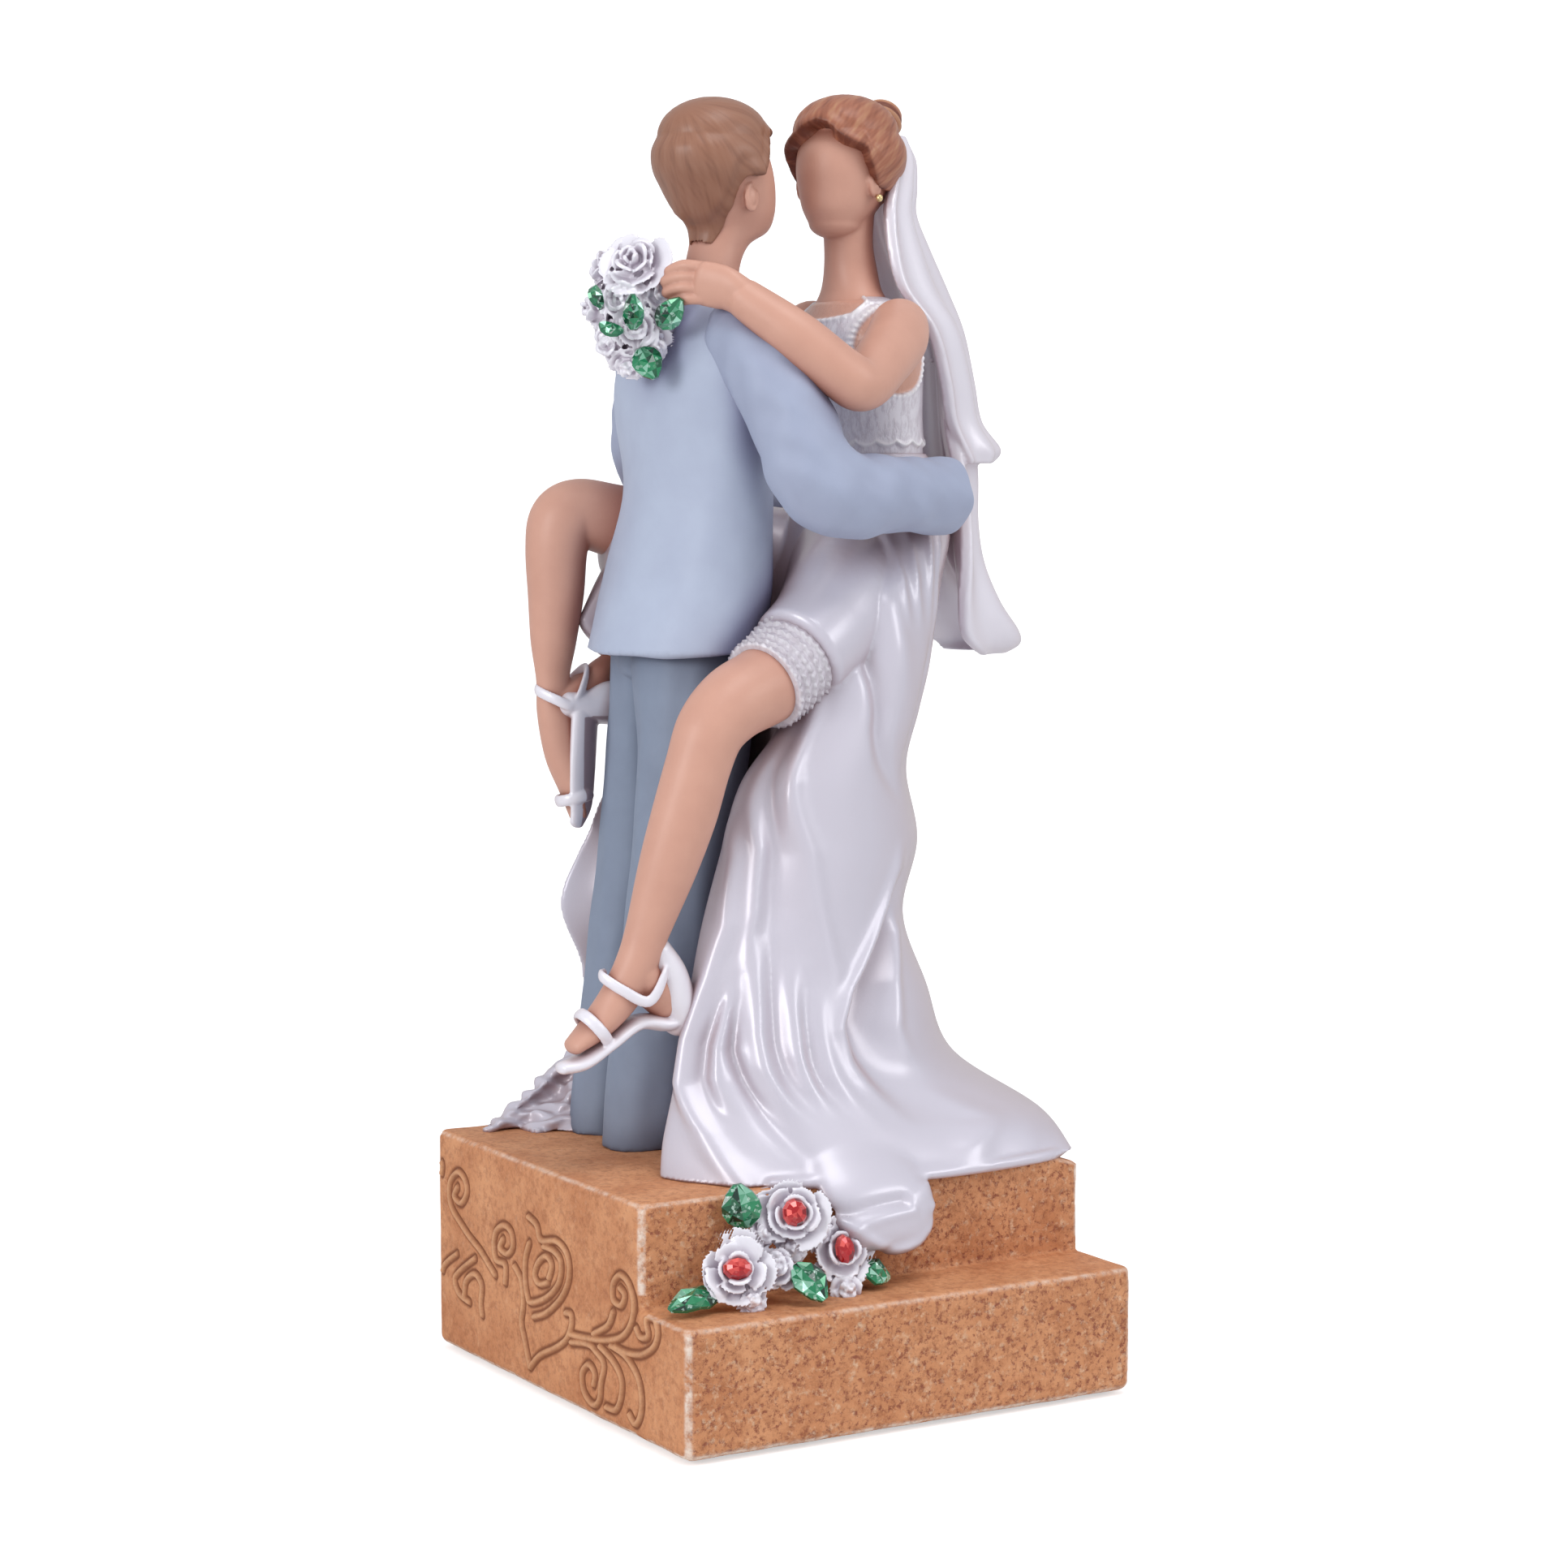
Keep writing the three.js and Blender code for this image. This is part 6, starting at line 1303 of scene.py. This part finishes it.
def gem_mesh(centre, facing, half_tall, half_wide, height, seed):
    """Faceted oval stone: a table and a crown of facets over a girdle, each given a tone as painted light,
    lighter on the upper side.
    """
    levels = [(0.7, -0.6), (1.0, 0.0), (0.94, 0.25), (0.78, 0.75), (0.42, 1.0)]
    rings = [ring_of(centre + facing * height * lift, facing, UP, half_tall * share, half_wide * share, 10)
             for share, lift in levels]
    points, faces = skin(rings)
    mesh = new_mesh("stone", points, faces)
    rng = np.random.default_rng(seed)
    tones = []
    for face in mesh.polygons:
        middle = np.mean([points[k] for k in face.vertices], 0) - centre
        # Painted light: facets turned up and toward minus x are lighter, with a random spread.
        tones.append(0.5 + 0.35 * float(unit(middle) @ unit(UP - ACROSS_X)) + rng.uniform(-0.3, 0.3))
    set_value(mesh, "facet", tones, "FACE")
    return mesh


def leaves(paint, rows, place, unit_length, name, seed):
    """Leaves of one group, each a piece of its own."""
    for i, row in enumerate(rows):
        mesh = blade(place(row[:3]), place(row[3:6]), row[6] * unit_length, unit(row[7:]), seed + i)
        show(f"{name}_blade_{i + 1}", mesh, paint, f"{name}_{i + 1}", smooth=False)


def flowers(paints):
    shells = [limb(BOUQUET_CORE, sides=32)]
    for row in BOUQUET_ROSES:
        radius = row[3] * COUPLE_HEIGHT
        shells += rose_shells(spot(row[:3]), unit(row[4:]), radius, BUD_LAYERS, len(shells))
    show("bouquet_white_roses", fused(shells, 0.17), paints["petal"], "bouquet_roses")
    leaves(paints["leaf"], BOUQUET_LEAVES, spot, COUPLE_HEIGHT, "bouquet_leaf", 20)
    for i, row in enumerate(STEP_ROSES):
        centre, facing = on_steps(row) + UP * STEP_ROSE_RAISE[i], unit(row[3:6])
        shells = rose_shells(centre, facing, STEP_ROSE_RADIUS, OPEN_LAYERS, 60 + i)
        for k, bud in enumerate(STEP_BUDS[2 * i:2 * i + 2]):
            shells += rose_shells(on_steps(bud), facing, bud[3], BUD_LAYERS, 70 + 2 * i + k)
        show(f"step_rose_petals_{i + 1}", fused(shells, 0.19), paints["petal"], f"step_rose_{i + 1}")
        tall, wide = STEP_GEM_RADIUS * row[7], STEP_GEM_RADIUS * row[6]
        stone = gem_mesh(centre + facing * STEP_ROSE_RADIUS * 0.5, facing, tall, wide, 1.3, 80 + i)
        show(f"step_rose_stone_{i + 1}", stone, paints["ruby"], f"rose_gem_{i + 1}", smooth=False)
    leaves(paints["leaf"], STEP_LEAVES, on_steps, BASE_LENGTH, "step_leaf", 40)


def aimed(name, data, place, ahead):
    """Puts a camera or light in the scene at a place, looking ahead."""
    item = bpy.data.objects.new(name, data)
    item.matrix_world = Matrix.Translation(place) @ ahead.to_track_quat("-Z", "Y").to_matrix().to_4x4()
    bpy.context.scene.collection.objects.link(item)
    return item


def room():
    """White to the eye, and soft bluish light on the part."""
    world = bpy.data.worlds.new("soft_white_room")
    bpy.context.scene.world = world
    world.use_nodes = True
    tree = world.node_tree
    tree.nodes.clear()
    path = add_node(tree, "ShaderNodeLightPath")
    light = add_node(tree, "ShaderNodeBackground", {"Color": (0.95, 0.96, 1.0, 1.0), "Strength": 0.62})
    seen = add_node(tree, "ShaderNodeBackground", {"Color": (1.0, 1.0, 1.0, 1.0), "Strength": 1.0})
    inputs = {0: path.outputs["Is Camera Ray"], 1: light.outputs[0], 2: seen.outputs[0]}
    surface = add_node(tree, "ShaderNodeMixShader", inputs)
    add_node(tree, "ShaderNodeOutputWorld", {"Surface": surface.outputs[0]})


def paper_sweep():
    """White paper under the part, curving up behind it."""
    values = {"Base Color": (0.8, 0.8, 0.8, 1.0), "Roughness": 0.9, "Emission Color": (1.0, 1.0, 1.0, 1.0)}
    material, tree, shader = new_material("white_paper_floor", values)
    eye_ray = add_node(tree, "ShaderNodeLightPath").outputs["Is Camera Ray"]
    tree.links.new(scaled(tree, eye_ray, 0.0, 1.0, 0.0, 0.55), shader.inputs["Emission Strength"])
    bend_place, bend = 0.45, 0.35
    sweep = [(-1.5, 0.0), (bend_place, 0.0)]
    sweep += [(bend_place + bend * math.sin(t), bend - bend * math.cos(t))
              for t in np.linspace(0, math.pi / 2, 24)[1:]]
    sweep += [(0.8, 1.6)]
    heading, side = np.array([0.515, 0.857]), np.array([0.857, -0.515])
    points = [(*(heading * run + side * reach), rise) for run, rise in sweep for reach in (-2.0, 2.0)]
    faces = [[2 * i, 2 * i + 1, 2 * i + 3, 2 * i + 2] for i in range(len(sweep) - 1)]
    mesh = new_mesh("paper_sweep", points, faces)
    mesh.materials.append(material)
    mesh.shade_smooth()
    floor = bpy.data.objects.new("paper_sweep", mesh)
    bpy.context.scene.collection.objects.link(floor)


def studio():
    scene = bpy.context.scene
    scene.view_settings.view_transform = "Standard"
    lens = bpy.data.cameras.new("photo_view")
    lens.sensor_width = 36
    lens.lens = PHOTO_LENS
    scene.camera = aimed("photo_view", lens, PHOTO_EYE, PHOTO_AHEAD)
    room()
    for name, place, size, power in SOFTBOXES:
        light = bpy.data.lights.new(name, "AREA")
        light.size = size
        light.energy = power
        aimed(name, light, Vector(place), LIT_PLACE - Vector(place))
    paper_sweep()


def make_paints():
    """Paints of the pieces by name: each a material and its slot."""
    return {
        "trousers": (painted("trouser_grey_blue_paint", "#8894A9", "#565D70", 0.6), "trouser_paint"),
        "jacket": (painted("jacket_powder_blue_paint", "#B6C0D5", "#8C8FAD", 0.55), "jacket_paint"),
        # Sleeves: a darker copy of the jacket's paint, painted shade for the sleeves that get less light.
        "sleeve": (painted("sleeve_jacket_paint_in_painted_shade", "#A6AFC7", "#83849F", 0.55), "jacket_paint"),
        "skin": (painted("skin_tone_paint", SKIN, "#A96F5E", 0.48, coat=0.08), "skin_paint"),
        "brown_hair": (hair_paint("brown_hair_paint", "#996B55", "#6E4636", "#AD8670", 0.3),
                       "brown_hair_paint"),
        "auburn_hair": (hair_paint("auburn_hair_paint", "#A5684F", "#743E2C", "#C29470", 0.6),
                        "auburn_hair_paint"),
        "pearl": (pearl_paint("pearl_lacquer", "#D3CFDB", "#BFA9AC", "#9A8084"), "pearl_paint"),
        "lace": (lace_paint("ivory_lace_paint", "#EDEAF1", "#C3B8C3", "#A595A0"), "lace_paint"),
        "petal": (pearl_paint("white_petal_lacquer", "#F2F0F8", "#E4DDE7", "#B6AAB8", roughness=0.4,
                              reach_mm=2.2), "rose_paint"),
        # The veil: the satin's pearl lacquer painted lighter, with lighter shade in its hollows, as painted
        # light where it is turned from the lamps.
        "veil": (pearl_paint("veil_pearl_lacquer_with_painted_light", "#E6E2EB", "#D6C9D0", "#CDBBC4"), "pearl_paint"),
        "bead": (plain("pearl_bead_lacquer", "#F4F1EE", 0.2, coat=0.6), "pearl_paint"),
        "gold": (plain("gold_leaf_paint", "#E6CF9A", 0.3, metallic=0.8), "gold_paint"),
        "leaf": (facet_paint("emerald_glitter_lacquer", "#123629", "#1C8A5A", "#AEE6CE", "#D4F4E6", 0.6),
                 "leaf_glitter"),
        "ruby": (facet_paint("ruby_red_resin", "#5E040A", "#B80F1A", "#FF6A62", "#FF9A90", 0.15),
                 "ruby_gem"),
        "shoe": (shoe_paint(), "pearl_paint"),
        "stone": (stone_paint(), "cast_stone")}


def build():
    paints = make_paints()
    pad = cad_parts["felt_pad"]
    pad.data.materials.clear()
    pad.data.materials.append(felt_paint())
    stepped_base(paints["stone"])
    groom(paints)
    bride(paints)
    show("bride_skirt_satin", skirt_mesh(), paints["pearl"], "bride_skirt")
    mesh = fused([sheet(VEIL_TOP, 4, 0.75), sheet(VEIL_FALL, 3, 0.7)], 0.3, 3)
    show("bride_veil_satin", mesh, paints["veil"], "bride_veil")
    flowers(paints)
    studio()


build()
